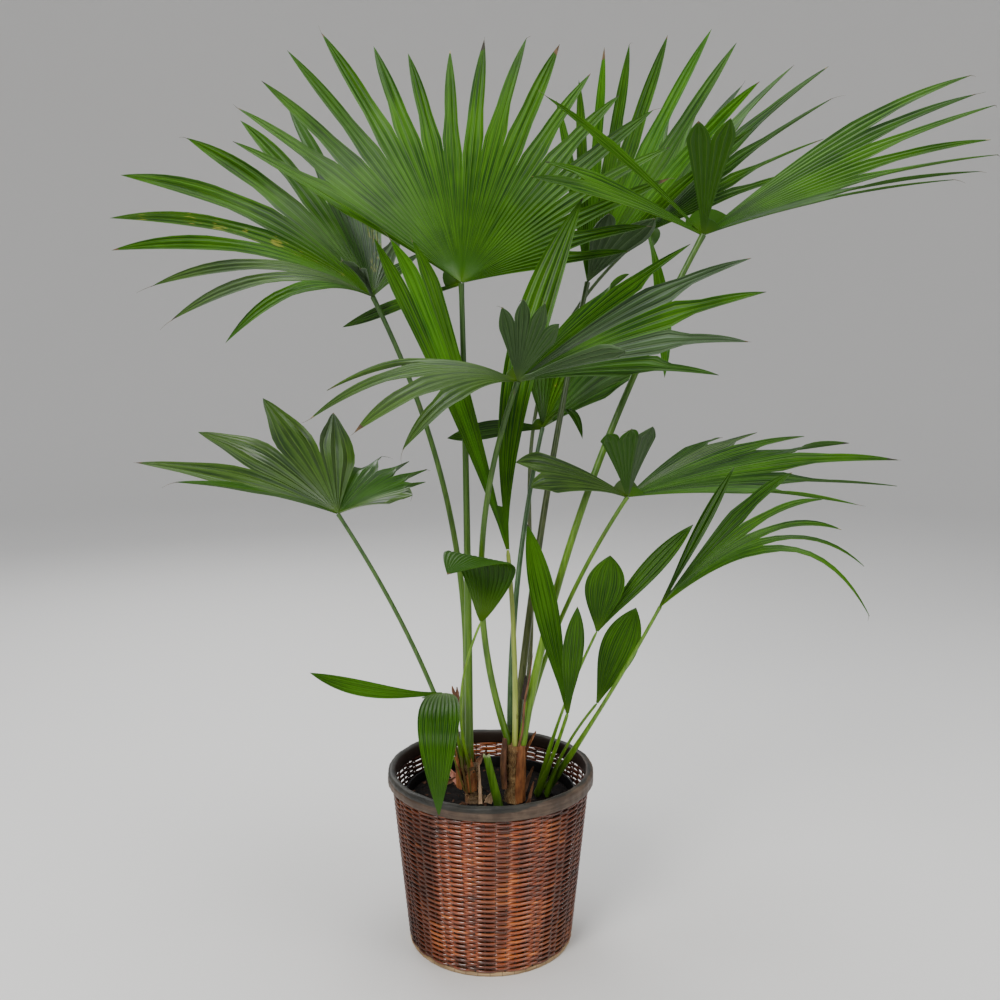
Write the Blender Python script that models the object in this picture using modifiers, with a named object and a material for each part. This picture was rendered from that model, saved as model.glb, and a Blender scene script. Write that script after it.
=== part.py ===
import math
import random

import bmesh
import bpy
import numpy as np

# Basket, in metres
BASKET_HEIGHT = 0.277
RIM_RADIUS = 0.160
RIM_BAND_HEIGHT = 0.021
RIM_PROUD = 0.004
RIM_THICKNESS = 0.0125
RIM_EDGE = 0.003
RIM_TAPER = 0.0012
BASE_RADIUS = 0.1285
BASE_THICKNESS = 0.006
BASE_EDGE = 0.0015
WALL_THICKNESS = 0.006
WALL_INSET = 0.001
ROUND_STEPS = 40

# Grow pot and the mix that fills it
POT_TOP = 0.238
POT_TOP_RADIUS = 0.133
POT_FOOT_RADIUS = 0.108
POT_WALL = 0.0025
SOIL_TOP = 0.222
SOIL_CROWN = 0.005
SOIL_CROWN_RADIUS = 0.095

# Gap that separate solids keep
GAP = 0.0003

# Blades: thickness as a share of the longest rib, folds of a segment and their depth for their width
BLADE_THICKNESS = 0.0105
FOLDS = 2
PLEAT = 0.36
SPLIT_SWAY = 0.045
HUB_THINNING = 0.3
RING_GAP = 0.0007
WEB = 0.12
OVAL_START = 0.0012
OVAL_WEB = 0.05
OVAL_ROWS = (0.0, 0.26, 0.47, 0.68, 0.87)
FUSED_ROWS = (0.0, 0.4, 1.0)
TIP_MIDDLE = 0.5
TAPER_POWER = 1.5
OVAL_BASE = 1.25
OVAL_POWER = 1.8
OVAL_WIDEST = (OVAL_BASE / (OVAL_BASE + OVAL_POWER)) ** (1.0 / OVAL_POWER)
OVAL_PEAK = OVAL_WIDEST ** OVAL_BASE * (1.0 - OVAL_WIDEST ** OVAL_POWER)
WEB_TURN = math.radians(30)
TIP_STRETCH = (0.90, 1.04)
TIP_SWAY = 0.018
TIP_DROP = (-0.006, 0.026)
NORMAL_STEP = 0.02

# Stems and stalks: seats of the three clumps, each with its centre and top height
LEFT_TRUNK = dict(foot=(-0.024, -0.018), top=(-0.037, -0.020), height=0.058, foot_radius=0.0165,
                  waist_radius=0.0125, top_radius=0.0175)
MAIN_TRUNK = dict(foot=(0.036, -0.020), top=(0.0385, -0.018), height=0.092, foot_radius=0.0175,
                  waist_radius=0.0135, top_radius=0.0185)
TRUNK_SIDES = 16
TRUNK_ROWS = ((0.0, "foot_radius"), (0.22, "waist_radius"), (0.6, "waist_radius"), (1.0, "top_radius"))
STALK_POINTS = 11
STALK_RESOLUTION = 1
STALK_TAPER_POWER = 0.7
STALK_FOOT = 0.006
CUT_STALK = dict(foot=(0.013, -0.039), top=(-0.006, -0.041, 0.310), radii=(0.0075, 0.0062))
DRY_SPIKE = dict(foot=(0.0045, -0.016), top=(0.064, -0.046, 0.470), radii=(0.0016, 0.0007))
# How far the end of a stalk passes the hub where the blade carries on ahead of it
OVAL_REACH = 0.0008

# Each leaf: hub where the blade meets its stalk, foot of the stalk on its clump (x, y), sideways bow of
# the stalk at half height, radii of the stalk, and the lobes of the blade. A lobe is its number of
# segments, the share of the length that is fused, its arch, the tips of guide ribs from the hub, and how
# far along its rib the bend sits. Two values run from the first segment to the last. An oval lobe is
# fused to its end, and gives its tip and full width.
LEAVES = {
    "top_left": dict(
        hub=(-0.180, 0.070, 0.997), clump="left", foot=(-0.0085, 0.009), bow=(0.054, 0.010),
        radii=(0.0050, 0.0032), lobes=[
            (13, (0.34, 0.58), (0.26, 0.05), [
                (-0.13, -0.27, -0.08), (-0.28, -0.19, 0.00), (-0.39, -0.04, 0.13), (-0.28, 0.10, 0.28),
                (-0.14, 0.20, 0.31), (0.02, 0.22, 0.12), (0.07, 0.12, 0.06)]),
            (2, 0.70, 0.08, [(0.005, -0.12, 0.03), (-0.025, -0.24, 0.04)])]),
    "top_centre": dict(
        hub=(-0.042, 0.000, 1.013), clump="left", foot=(0.004, 0.002), bow=(0.002, 0.010),
        radii=(0.0062, 0.0034), lobes=[
            (1, 1.0, 0.02, [(-0.20, 0.17, -0.06), (0.006, 0.0, 0.022)]),
            (18, (0.60, 0.56), 0.05, [(-0.30, 0.03, 0.16), (-0.36, 0.06, 0.23), (-0.31, 0.12, 0.33),
                              (-0.22, 0.17, 0.40), (-0.02, 0.20, 0.38), (0.10, 0.20, 0.41),
                              (0.19, 0.18, 0.36), (0.33, 0.14, 0.22), (0.23, 0.05, 0.03)])]),
    "back_right": dict(
        hub=(0.155, 0.160, 1.024), clump="main", foot=(0.0, 0.0), bow=(-0.012, -0.012),
        radii=(0.0058, 0.0036), reach=0.0012, lobes=[
            (9, 0.50, 0.05, [(-0.06, 0.06, 0.28), (0.05, 0.13, 0.40), (0.25, 0.16, 0.43),
                              (0.31, 0.13, 0.38), (0.25, 0.06, 0.21)]),
            (2, 0.62, 0.08, [(0.13, -0.06, 0.08), (0.00, -0.07, 0.09)])]),
    "rear": dict(
        hub=(0.272, 0.320, 1.120), clump="main", foot=(0.004, 0.0115), bow=(-0.110, 0.030), late=True,
        radii=(0.0032, 0.0026), lobes=[
            (8, (0.52, 0.40), 0.05, [(0.03, 0.19, 0.25), (0.24, 0.16, 0.31), (0.34, 0.10, 0.33),
                              (0.33, 0.02, 0.24), (0.23, -0.06, 0.07)]),
            (1, 1.0, 0.55, [(0.02, -0.10, -0.25), (-0.026, -0.006, 0.0)])]),
    "top_right": dict(
        hub=(0.313, 0.020, 1.084), clump="main", foot=(0.0105, -0.009), bow=(-0.036, -0.006),
        radii=(0.0061, 0.0038), lobes=[
            (2, 0.72, 0.06, [(-0.27, -0.10, 0.06), (-0.22, -0.02, 0.11)]),
            (1, 0.60, 0.06, [(-0.26, 0.00, 0.20), (-0.21, 0.02, 0.20)]),
            (7, (0.62, 0.45), 0.06, [(0.41, 0.12, 0.28), (0.44, 0.04, 0.20), (0.41, -0.04, 0.11),
                              (0.31, -0.10, 0.06)]),
            (2, 0.82, 0.05, [(0.02, -0.15, 0.13), (-0.06, -0.15, 0.13)])]),
    "inner": dict(
        hub=(0.083, 0.130, 0.792), clump="main", foot=(-0.008, 0.009), bow=(-0.014, 0.0),
        radii=(0.0050, 0.0029), lobes=[
            (2, 1.0, 0.08, [(-0.15, -0.08, -0.01), (0.010, 0.0, 0.030)]),
            (5, (0.85, 0.60), 0.08, [(-0.03, 0.01, 0.09), (0.02, 0.06, 0.13), (0.09, 0.12, 0.15),
                             (0.17, 0.10, 0.13), (0.16, 0.04, 0.06)]),
            (1, 1.0, 1.10, [(0.062, -0.034, -0.015), (-0.016, 0.0, 0.0)])]),
    "front": dict(
        hub=(0.039, -0.090, 0.873), clump="main", foot=(-0.0115, -0.005), bow=(-0.046, 0.0),
        radii=(0.0050, 0.0032), lobes=[
            (4, 0.45, 0.26, [(-0.12, -0.16, -0.08), (-0.28, -0.11, -0.03), (-0.22, -0.04, 0.00)]),
            (6, (0.60, 0.55), 0.08, [(0.12, 0.05, 0.130), (0.235, 0.03, 0.190), (0.33, 0.00, 0.170),
                             (0.31, -0.06, 0.055), (0.24, -0.075, -0.005)]),
            (1, 0.80, 0.05, [(0.155, -0.11, 0.035), (0.12, -0.12, 0.055)]),
            (4, 0.66, 0.05, [(0.062, -0.085, 0.066), (0.020, -0.09, 0.114), (-0.035, -0.09, 0.093)])]),
    "half_open": dict(
        hub=(0.026, -0.040, 0.624), clump="main", foot=(-0.001, -0.0125), bow=(0.004, 0.0),
        radii=(0.0042, 0.0028), reach=0.0027, lobes=[
            (3, (0.80, 0.86), 0.08, [(-0.205, 0.005, 0.450), (-0.118, 0.01, 0.458)]),
            (2, 1.0, 0.70, [(0.108, 0.03, 0.51), (0.050, 0.0, -0.006)])]),
    "right": dict(
        hub=(0.206, 0.000, 0.698), clump="main", foot=(0.0125, 0.007), bow=(-0.020, 0.006),
        radii=(0.0036, 0.0028), lobes=[
            (2, 0.78, 0.10, [(-0.14, -0.12, 0.015), (-0.175, -0.085, 0.085)]),
            (7, (0.70, 0.50), 0.08, [(0.14, 0.13, 0.08), (0.34, 0.06, 0.08), (0.40, 0.01, 0.07),
                              (0.37, -0.07, 0.02), (0.30, -0.13, 0.00)]),
            (3, 0.80, 0.05, [(0.030, -0.13, 0.115), (-0.060, -0.13, 0.105)])]),
    "left": dict(
        hub=(-0.222, -0.050, 0.680), clump="left", foot=(-0.0115, -0.004), bow=(0.016, 0.0),
        radii=(0.0036, 0.0026), lobes=[
            (10, (0.45, 0.84), 0.08, [(-0.14, -0.15, 0.06), (-0.27, -0.07, 0.07), (-0.25, 0.05, 0.11),
                              (-0.08, 0.20, 0.16), (0.04, 0.17, 0.07), (0.13, -0.03, 0.05),
                              (0.10, -0.13, 0.03)])]),
    "drooping": dict(
        hub=(0.240, -0.120, 0.558), clump="soil", foot=(0.089, 0.009), bow=(0.004, -0.004),
        radii=(0.0034, 0.0022), reach=0.0020, lobes=[
            (1, 1.0, 0.03, [(0.105, 0.03, 0.195), (0.014, 0.0, -0.010)]),
            (5, (0.80, 0.56), (0.04, 0.62), [
                (0.160, 0.05, 0.200), (0.215, 0.01, 0.160), (0.255, -0.08, 0.080), (0.240, -0.15, 0.010)],
             0.72)]),
    "folded": dict(
        hub=(-0.013, -0.080, 0.526), clump="left", foot=(0.004, -0.0115), bow=(-0.020, -0.004),
        radii=(0.0024, 0.0016), lobes=[
            (6, 1.0, 1.60, [(-0.045, -0.07, 0.085), (0.094, -0.036, -0.012)])]),
    "spear_pair": dict(
        hub=(0.114, -0.075, 0.386), clump="soil", foot=(0.073, -0.007), bow=(0.002, 0.0),
        radii=(0.0032, 0.0024), reach=0.0001, lobes=[
            (3, 1.0, 0.04, [(-0.060, 0.02, 0.28), (0.036, 0.0, 0.010)]),
            (3, 1.0, 0.05, [(0.006, -0.095, 0.185), (0.030, 0.0, 0.002)])]),
    "oval": dict(
        hub=(0.157, -0.060, 0.506), clump="soil", foot=(0.076, 0.009), bow=(-0.008, 0.0),
        radii=(0.0026, 0.0018), lobes=[
            (4, 1.0, 0.05, [(0.015, -0.03, 0.12), (0.058, 0.012, -0.006)]),
            (2, 1.0, 0.05, [(0.138, 0.00, 0.160), (0.022, 0.0, -0.019)])]),
    "broad": dict(
        hub=(0.160, -0.045, 0.391), clump="soil", foot=(0.088, -0.008), bow=(-0.010, 0.0),
        radii=(0.0026, 0.0018), lobes=[
            (4, 1.0, 0.05, [(0.055, -0.01, 0.15), (0.052, 0.0, -0.020)])]),
    "over_rim": dict(
        hub=(-0.070, -0.070, 0.415), clump="left", foot=(-0.006, -0.013), bow=(0.004, 0.0),
        radii=(0.0026, 0.0020), reach=-0.0006, lobes=[
            (5, 1.0, 1.50, [(0.00, -0.115, -0.139), (-0.058, 0.0, 0.0)]),
            (2, 1.0, -0.12, [(-0.19, -0.03, 0.041), (0.006, 0.010, 0.020)])]),
}

# Colours as base colour, roughness and metallic value
FINISHES = {
    "blade": ((0.035, 0.135, 0.018), 0.42, 0.0),
    "stalk": ((0.13, 0.27, 0.03), 0.45, 0.0),
    "fibre": ((0.27, 0.13, 0.05), 0.90, 0.0),
    "wicker": ((0.24, 0.075, 0.022), 0.40, 0.0),
    "rim": ((0.07, 0.05, 0.038), 0.45, 0.0),
    "base": ((0.46, 0.30, 0.14), 0.60, 0.0),
    "pot": ((0.012, 0.012, 0.012), 0.50, 0.0),
    "soil": ((0.022, 0.014, 0.010), 1.0, 0.0),
}


def clear_scene():
    for item in list(bpy.data.objects):
        bpy.data.objects.remove(item, do_unlink=True)


def new_collection(name):
    collection = bpy.data.collections.new(name)
    bpy.context.scene.collection.children.link(collection)
    return collection


def finish(name):
    """Principled material for one part"""
    colour, roughness, metallic = FINISHES[name]
    material = bpy.data.materials.new(name)
    material.use_nodes = True
    shader = material.node_tree.nodes["Principled BSDF"]
    shader.inputs["Base Color"].default_value = (*colour, 1.0)
    shader.inputs["Roughness"].default_value = roughness
    shader.inputs["Metallic"].default_value = metallic
    return material


def add_object(name, data, material):
    item = bpy.data.objects.new(name, data)
    item.data.materials.append(material)
    parts.objects.link(item)
    return item


def turned(name, profile, material):
    """Solid turned about the vertical axis from a closed or axis-to-axis profile of (radius, height)"""
    mesh = bpy.data.meshes.new(name)
    points = [(radius, 0.0, height) for radius, height in profile]
    edges = [(i, i + 1) for i in range(len(points) - 1)]
    if min(radius for radius, height in profile) > 0.0:
        edges.append((len(points) - 1, 0))
    mesh.from_pydata(points, edges, [])
    item = add_object(name, mesh, material)
    screw = item.modifiers.new("turn", "SCREW")
    screw.angle = math.tau
    screw.steps = ROUND_STEPS
    screw.render_steps = ROUND_STEPS
    screw.use_merge_vertices = True
    screw.merge_threshold = 0.00005
    screw.use_smooth_shade = True
    return item


def wall_radius(height):
    """Outer radius of the basket's wall at a height"""
    share = height / BASKET_HEIGHT
    return BASE_RADIUS + (RIM_RADIUS - RIM_PROUD - BASE_RADIUS) * share


def make_basket():
    wall_foot = BASE_THICKNESS + GAP
    wall_top = BASKET_HEIGHT - RIM_BAND_HEIGHT - GAP
    foot_radius = wall_radius(wall_foot) - WALL_INSET
    top_radius = wall_radius(wall_top)
    turned("basket_wall", [
        (top_radius, wall_top), (foot_radius, wall_foot),
        (foot_radius - WALL_THICKNESS, wall_foot), (top_radius - WALL_THICKNESS, wall_top)],
        finish("wicker"))
    band = BASKET_HEIGHT - RIM_BAND_HEIGHT
    inner = RIM_RADIUS - RIM_THICKNESS
    turned("basket_rim", [
        (RIM_RADIUS - RIM_EDGE, BASKET_HEIGHT), (RIM_RADIUS, BASKET_HEIGHT - RIM_EDGE),
        (RIM_RADIUS - RIM_TAPER, band + RIM_EDGE), (RIM_RADIUS - RIM_EDGE, band),
        (inner, band), (inner, BASKET_HEIGHT - RIM_EDGE), (inner + RIM_EDGE, BASKET_HEIGHT)], finish("rim"))
    flat_radius = BASE_RADIUS - BASE_EDGE
    turned("basket_base", [
        (0.0, BASE_THICKNESS), (flat_radius, BASE_THICKNESS), (BASE_RADIUS, BASE_THICKNESS / 2),
        (flat_radius, 0.0), (0.0, 0.0)], finish("base"))


def pot_radius(height):
    """Outer radius of the grow pot at a height"""
    return POT_FOOT_RADIUS + (POT_TOP_RADIUS - POT_FOOT_RADIUS) * height / POT_TOP


def make_pot():
    foot = BASE_THICKNESS + GAP
    floor = foot + POT_WALL
    turned("grow_pot", [
        (0.0, floor), (pot_radius(floor) - POT_WALL, floor),
        (pot_radius(POT_TOP) - POT_WALL, POT_TOP), (pot_radius(POT_TOP), POT_TOP),
        (pot_radius(foot), foot), (0.0, foot)], finish("pot"))
    inset = POT_WALL + GAP
    turned("potting_mix", [
        (0.0, SOIL_TOP + SOIL_CROWN), (SOIL_CROWN_RADIUS, SOIL_TOP + SOIL_CROWN),
        (pot_radius(SOIL_TOP) - inset, SOIL_TOP), (pot_radius(floor) - inset, floor + GAP),
        (0.0, floor + GAP)], finish("soil"))


def smooth_row(places, points, share):
    """Cubic curve through points that sit at unevenly spaced places"""
    index = int(np.clip(np.searchsorted(places, share) - 1, 0, len(places) - 2))
    slopes = []
    for knot in (index, index + 1):
        before, after = max(knot - 1, 0), min(knot + 1, len(places) - 1)
        slopes.append((points[after] - points[before]) / (places[after] - places[before]))
    step = places[index + 1] - places[index]
    along = (share - places[index]) / step
    square, cube = along ** 2, along ** 3
    return ((2 * cube - 3 * square + 1) * points[index] + (cube - 2 * square + along) * step * slopes[0]
            + (3 * square - 2 * cube) * points[index + 1] + (cube - square) * step * slopes[1])


class Lobe:
    """Group of neighbouring segments, fused along part of their length"""

    def __init__(self, hub, chance, count, fused, arch, guides, lean=0.5):
        self.hub = np.array(hub)
        self.count = count
        self.arch = arch if isinstance(arch, tuple) else (arch, arch)
        self.lean = lean
        self.oval = fused == 1.0
        self.folds = 1 if self.oval else FOLDS
        ends = fused if isinstance(fused, tuple) else (fused, fused)
        self.splits = [split + chance.uniform(-SPLIT_SWAY, SPLIT_SWAY)
                       for split in np.linspace(*ends, count + 1)]
        self.bends = [(chance.uniform(*TIP_STRETCH), chance.uniform(-TIP_SWAY, TIP_SWAY),
                       chance.uniform(*TIP_DROP)) for _ in range(count)]
        tips = [np.array(guide) for guide in guides]
        if self.oval:
            self.centre_tip, self.width = tips
            self.length = np.linalg.norm(self.centre_tip)
            return
        lengths = [np.linalg.norm(tip) for tip in tips]
        self.length = max(lengths)
        directions = [tip / length for tip, length in zip(tips, lengths)]
        turns = [math.acos(min(1.0, a @ b)) for a, b in zip(directions, directions[1:])]
        places = np.concatenate([[0.0], np.cumsum(turns)])
        rows = [np.append(direction, length) for direction, length in zip(directions, lengths)]
        self.knots = (places / places[-1], np.array(rows))

    def tip(self, share):
        """Tip of the rib at a share of the way across, from the hub"""
        if self.oval:
            return self.centre_tip
        row = smooth_row(*self.knots, share)
        return row[:3] / np.linalg.norm(row[:3]) * row[3]

    def point(self, share, along):
        """Point of the blade's middle surface: share across the lobe, along from hub to tip"""
        tip = self.tip(share)
        length = np.linalg.norm(tip)
        lift = np.array([0.0, 0.0, 1.0]) - tip * tip[2] / length ** 2
        arch = self.arch[0] + (self.arch[1] - self.arch[0]) * share
        control = tip * self.lean + lift * arch * length
        place = self.hub + 2 * along * (1 - along) * control + along ** 2 * tip
        if self.oval:
            swell = along ** OVAL_BASE * (1.0 - along ** OVAL_POWER) / OVAL_PEAK
            place = place + self.width * (share - 0.5) * swell
        return place

    def normal(self, share, along):
        """Unit vector out of the upper face"""
        step = NORMAL_STEP
        inside = min(max(along, 2 * step), 1.0 - 2 * step)
        low, high = max(share - step, 0.0), min(share + step, 1.0)
        across = self.point(high, inside) - self.point(low, inside)
        outward = self.point(share, inside + step) - self.point(share, inside - step)
        cross = np.cross(across, outward)
        return cross / np.linalg.norm(cross)


class Blade:
    """Closed thin shell of all the lobes of one leaf, joined round the hub"""

    def __init__(self, leaf, seed):
        chance = random.Random(seed)
        self.lobes = [Lobe(leaf["hub"], chance, *lobe) for lobe in leaf["lobes"]]
        fan = any(not lobe.oval for lobe in self.lobes)
        self.inner = leaf["radii"][1] + RING_GAP if fan else OVAL_START
        self.web_row = WEB if fan else OVAL_WEB
        self.thickness = BLADE_THICKNESS * max(lobe.length for lobe in self.lobes)
        self.vertices = []
        self.faces = []

    def pair(self, point, normal, along):
        """Upper and lower vertex of one place on the blade, closer together round the hub"""
        half = self.thickness / 2 * min(1.0, HUB_THINNING + (1 - HUB_THINNING) * along / self.web_row)
        self.vertices.append(point + normal * half)
        self.vertices.append(point - normal * half)
        return len(self.vertices) - 2

    def strip(self, left, right):
        """Upper and lower faces between two columns of pairs"""
        for a, b, c, d in zip(left, left[1:], right, right[1:]):
            self.faces.append([a, c, d, b] if b != d else [a, c, d])
            self.faces.append([a + 1, b + 1, d + 1, c + 1] if b != d else [a + 1, b + 1, c + 1])

    def wall(self, column, outside_left):
        """Side faces down one column of pairs"""
        for a, b in zip(column, column[1:]):
            face = [a, b, b + 1, a + 1]
            self.faces.append(face if outside_left else face[::-1])

    def column(self, lobe, place, shares):
        """Pairs from the hub outward: even places are raised folds, odd ones are sunk ribs"""
        places = 2 * lobe.folds * lobe.count
        share = place / places
        near = np.linalg.norm(lobe.point(share, NORMAL_STEP) - lobe.hub) / NORMAL_STEP
        split = 1.0 if lobe.oval else np.interp(share * lobe.count, range(lobe.count + 1), lobe.splits)
        rows = [self.inner / near] + [self.web_row + (split - self.web_row) * part for part in shares]
        sign = 1 if place % 2 == 0 else -1
        pairs = []
        for along in rows:
            low, high = max(share - 1 / places, 0.0), min(share + 1 / places, 1.0)
            across = np.linalg.norm(lobe.point(high, along) - lobe.point(low, along))
            across *= 2 / places / (high - low)
            normal = lobe.normal(share, along)
            centre = lobe.point(share, along) + normal * sign * PLEAT * across / 4
            pairs.append(self.pair(centre, normal, along))
        return pairs

    def free_tip(self, lobe, index, starts):
        """Part of a segment beyond the split, bending and narrowing to its point"""
        share = (index + 0.5) / lobe.count
        split = (lobe.splits[index] + lobe.splits[index + 1]) / 2
        stretch, sway, drop = lobe.bends[index]
        length = np.linalg.norm(lobe.tip(share))
        columns = [[start] for start in starts]
        for tau in (TIP_MIDDLE, 1.0):
            along = split + (1 - split) * tau * stretch
            centre = lobe.point(share, along)
            side = lobe.point(share + 0.5 / lobe.count, along) - centre
            normal = lobe.normal(share, along)
            bend = side / np.linalg.norm(side) * sway - np.array([0.0, 0.0, drop])
            centre = centre + bend * length * tau ** 2
            side = side * (1.0 - tau ** TAPER_POWER)
            fold = normal * PLEAT * np.linalg.norm(side) / lobe.folds / 2
            if tau == 1.0:
                point = self.pair(centre, normal, along)
                for column in columns:
                    column.append(point)
                continue
            for place, column in enumerate(columns):
                sign = 1 if place % 2 == 0 else -1
                offset = place / lobe.folds - 1.0
                column.append(self.pair(centre + side * offset + fold * sign, normal, along))
        for left, right in zip(columns, columns[1:]):
            self.strip(left, right)
        self.wall(columns[0], True)
        self.wall(columns[-1], False)

    def add_lobe(self, lobe):
        """Columns of one lobe, with its free tips or its closed oval end"""
        shares = OVAL_ROWS if lobe.oval else FUSED_ROWS
        places = 2 * lobe.folds
        columns = [self.column(lobe, place, shares) for place in range(places * lobe.count + 1)]
        if lobe.oval:
            tip = self.pair(lobe.point(0.5, 1.0), lobe.normal(0.5, 1.0), 1.0)
            for column in columns:
                column.append(tip)
        for left, right in zip(columns, columns[1:]):
            self.strip(left, right)
            self.faces.append([left[0], left[0] + 1, right[0] + 1, right[0]])
        if not lobe.oval:
            for index in range(lobe.count):
                group = columns[places * index:places * (index + 1) + 1]
                self.free_tip(lobe, index, [column[-1] for column in group])
        return columns

    def web(self, last, first):
        """Columns that turn about the hub from one lobe's edge to the next one's"""
        hub = self.lobes[0].hub
        rows = []
        for a, b in zip(last[:2], first[:2]):
            upper = (self.vertices[a] - hub, self.vertices[b] - hub)
            lower = (self.vertices[a + 1] - hub, self.vertices[b + 1] - hub)
            rows.append((upper, lower))
        middles = [(rows[1][0][side] + rows[1][1][side]) / 2 for side in (0, 1)]
        cosine = middles[0] @ middles[1] / np.linalg.norm(middles[0]) / np.linalg.norm(middles[1])
        steps = int(math.acos(max(-1.0, min(1.0, cosine))) / WEB_TURN)
        columns = []
        for step in range(1, steps + 1):
            share = step / (steps + 1)
            column = []
            for row in rows:
                for start, end in row:
                    lengths = np.linalg.norm(start), np.linalg.norm(end)
                    mix = start / lengths[0] * (1 - share) + end / lengths[1] * share
                    reach = lengths[0] * (1 - share) + lengths[1] * share
                    self.vertices.append(hub + mix / np.linalg.norm(mix) * reach)
                column.append(len(self.vertices) - 2)
            columns.append(column)
        return columns

    def build(self):
        """Vertices and faces of the whole blade, its lobes linked by webs next to the hub"""
        groups = [self.add_lobe(lobe) for lobe in self.lobes]
        for one, other in zip(groups, groups[1:]):
            last, first = one[-1], other[0]
            columns = [last[:2], *self.web(last, first), first[:2]]
            for left, right in zip(columns, columns[1:]):
                self.strip(left, right)
                self.faces.append([left[0], left[0] + 1, right[0] + 1, right[0]])
                self.faces.append([left[1], right[1], right[1] + 1, left[1] + 1])
            self.wall(last[1:], False)
            self.wall(first[1:], True)
        self.wall(groups[0][0], True)
        self.wall(groups[-1][-1], False)
        return self.vertices, self.faces


def make_blade(name, leaf, seed, material):
    vertices, faces = Blade(leaf, seed).build()
    mesh = bpy.data.meshes.new(name)
    mesh.from_pydata([tuple(vertex) for vertex in vertices], [], faces)
    sheet = bmesh.new()
    sheet.from_mesh(mesh)
    bmesh.ops.triangulate(sheet, faces=sheet.faces)
    bmesh.ops.recalc_face_normals(sheet, faces=sheet.faces)
    sheet.to_mesh(mesh)
    sheet.free()
    return add_object(name, mesh, material)


def clump_seat(clump, foot):
    """World position of a stalk's foot"""
    if clump == "soil":
        return np.array([foot[0], foot[1], SOIL_TOP + SOIL_CROWN + GAP])
    trunk = LEFT_TRUNK if clump == "left" else MAIN_TRUNK
    height = SOIL_TOP + SOIL_CROWN + GAP + trunk["height"] + GAP
    return np.array([trunk["top"][0] + foot[0], trunk["top"][1] + foot[1], height])


def tapered_tube(name, places, radii, material):
    """Tube with filled caps along (place, share) rows, its radius running from one end to the other"""
    curve = bpy.data.curves.new(name, "CURVE")
    curve.dimensions = "3D"
    curve.bevel_depth = 1.0
    curve.bevel_resolution = STALK_RESOLUTION
    curve.use_fill_caps = True
    spline = curve.splines.new("POLY")
    spline.points.add(len(places) - 1)
    for point, (place, share) in zip(spline.points, places):
        point.co = (*place, 1.0)
        point.radius = radii[0] + (radii[1] - radii[0]) * share ** STALK_TAPER_POWER
    return add_object(name, curve, material)


def make_stalk(name, leaf, material):
    """Tapering stalk with a flat foot, from its clump to just short of the hub"""
    foot = clump_seat(leaf["clump"], leaf["foot"])
    start = foot + np.array([0.0, 0.0, STALK_FOOT])
    hub = np.array(leaf["hub"])
    bow = np.array([*leaf["bow"], 0.0])
    power = 2 if leaf.get("late") else 1
    peak = power / (power + 1.0)
    scale = 1.0 / (peak ** power * (1.0 - peak))
    oval = all(lobe[1] == 1.0 for lobe in leaf["lobes"])
    reach = leaf.get("reach", OVAL_REACH if oval else 0.0)
    end = 1.0 + reach / np.linalg.norm(hub - start)
    places = [(foot, 0.0)]
    for share in np.linspace(0.0, end, STALK_POINTS):
        place = start + (hub - start) * share + bow * scale * share ** power * (1 - share)
        places.append((place, min(share, 1.0)))
    return tapered_tube(name, places, leaf["radii"], material)


def make_short_stalk(name, sizes, clump, material):
    """Straight stalk with no blade, from its clump to its own top"""
    foot = clump_seat(clump, sizes["foot"])
    start = foot + np.array([0.0, 0.0, STALK_FOOT])
    places = [(foot, 0.0), (start, 0.0), (np.array(sizes["top"]), 1.0)]
    return tapered_tube(name, places, sizes["radii"], material)


def make_trunk(name, trunk, material):
    """Upright stem with a flared foot, a waist and a wider fibrous top"""
    mesh = bpy.data.meshes.new(name)
    solid = bmesh.new()
    rings = []
    foot, top = np.array(trunk["foot"]), np.array(trunk["top"])
    base = SOIL_TOP + SOIL_CROWN + GAP
    for share, radius in TRUNK_ROWS:
        ring = []
        for turn in np.linspace(0, math.tau, TRUNK_SIDES, endpoint=False):
            reach = trunk[radius] * np.array([math.cos(turn), math.sin(turn)])
            place = foot + (top - foot) * share + reach
            ring.append(solid.verts.new((*place, base + trunk["height"] * share)))
        rings.append(ring)
    for low, high in zip(rings, rings[1:]):
        for index in range(TRUNK_SIDES):
            after = (index + 1) % TRUNK_SIDES
            solid.faces.new([low[index], low[after], high[after], high[index]])
    solid.faces.new(rings[0][::-1])
    solid.faces.new(rings[-1])
    solid.to_mesh(mesh)
    solid.free()
    return add_object(name, mesh, material)


clear_scene()
parts = new_collection("potted_fan_palm")
make_basket()
make_pot()
make_trunk("trunk_main", MAIN_TRUNK, finish("fibre"))
make_trunk("trunk_left", LEFT_TRUNK, finish("fibre"))
blade_material = finish("blade")
stalk_material = finish("stalk")
make_short_stalk("cut_stalk", CUT_STALK, "soil", stalk_material)
make_short_stalk("dry_spike", DRY_SPIKE, "main", finish("fibre"))
for number, (leaf_name, leaf_sizes) in enumerate(LEAVES.items()):
    make_stalk("stalk_" + leaf_name, leaf_sizes, stalk_material)
    make_blade("frond_" + leaf_name, leaf_sizes, number, blade_material)
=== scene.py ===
import math
import random

import bpy
import numpy as np
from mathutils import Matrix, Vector, noise


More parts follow.
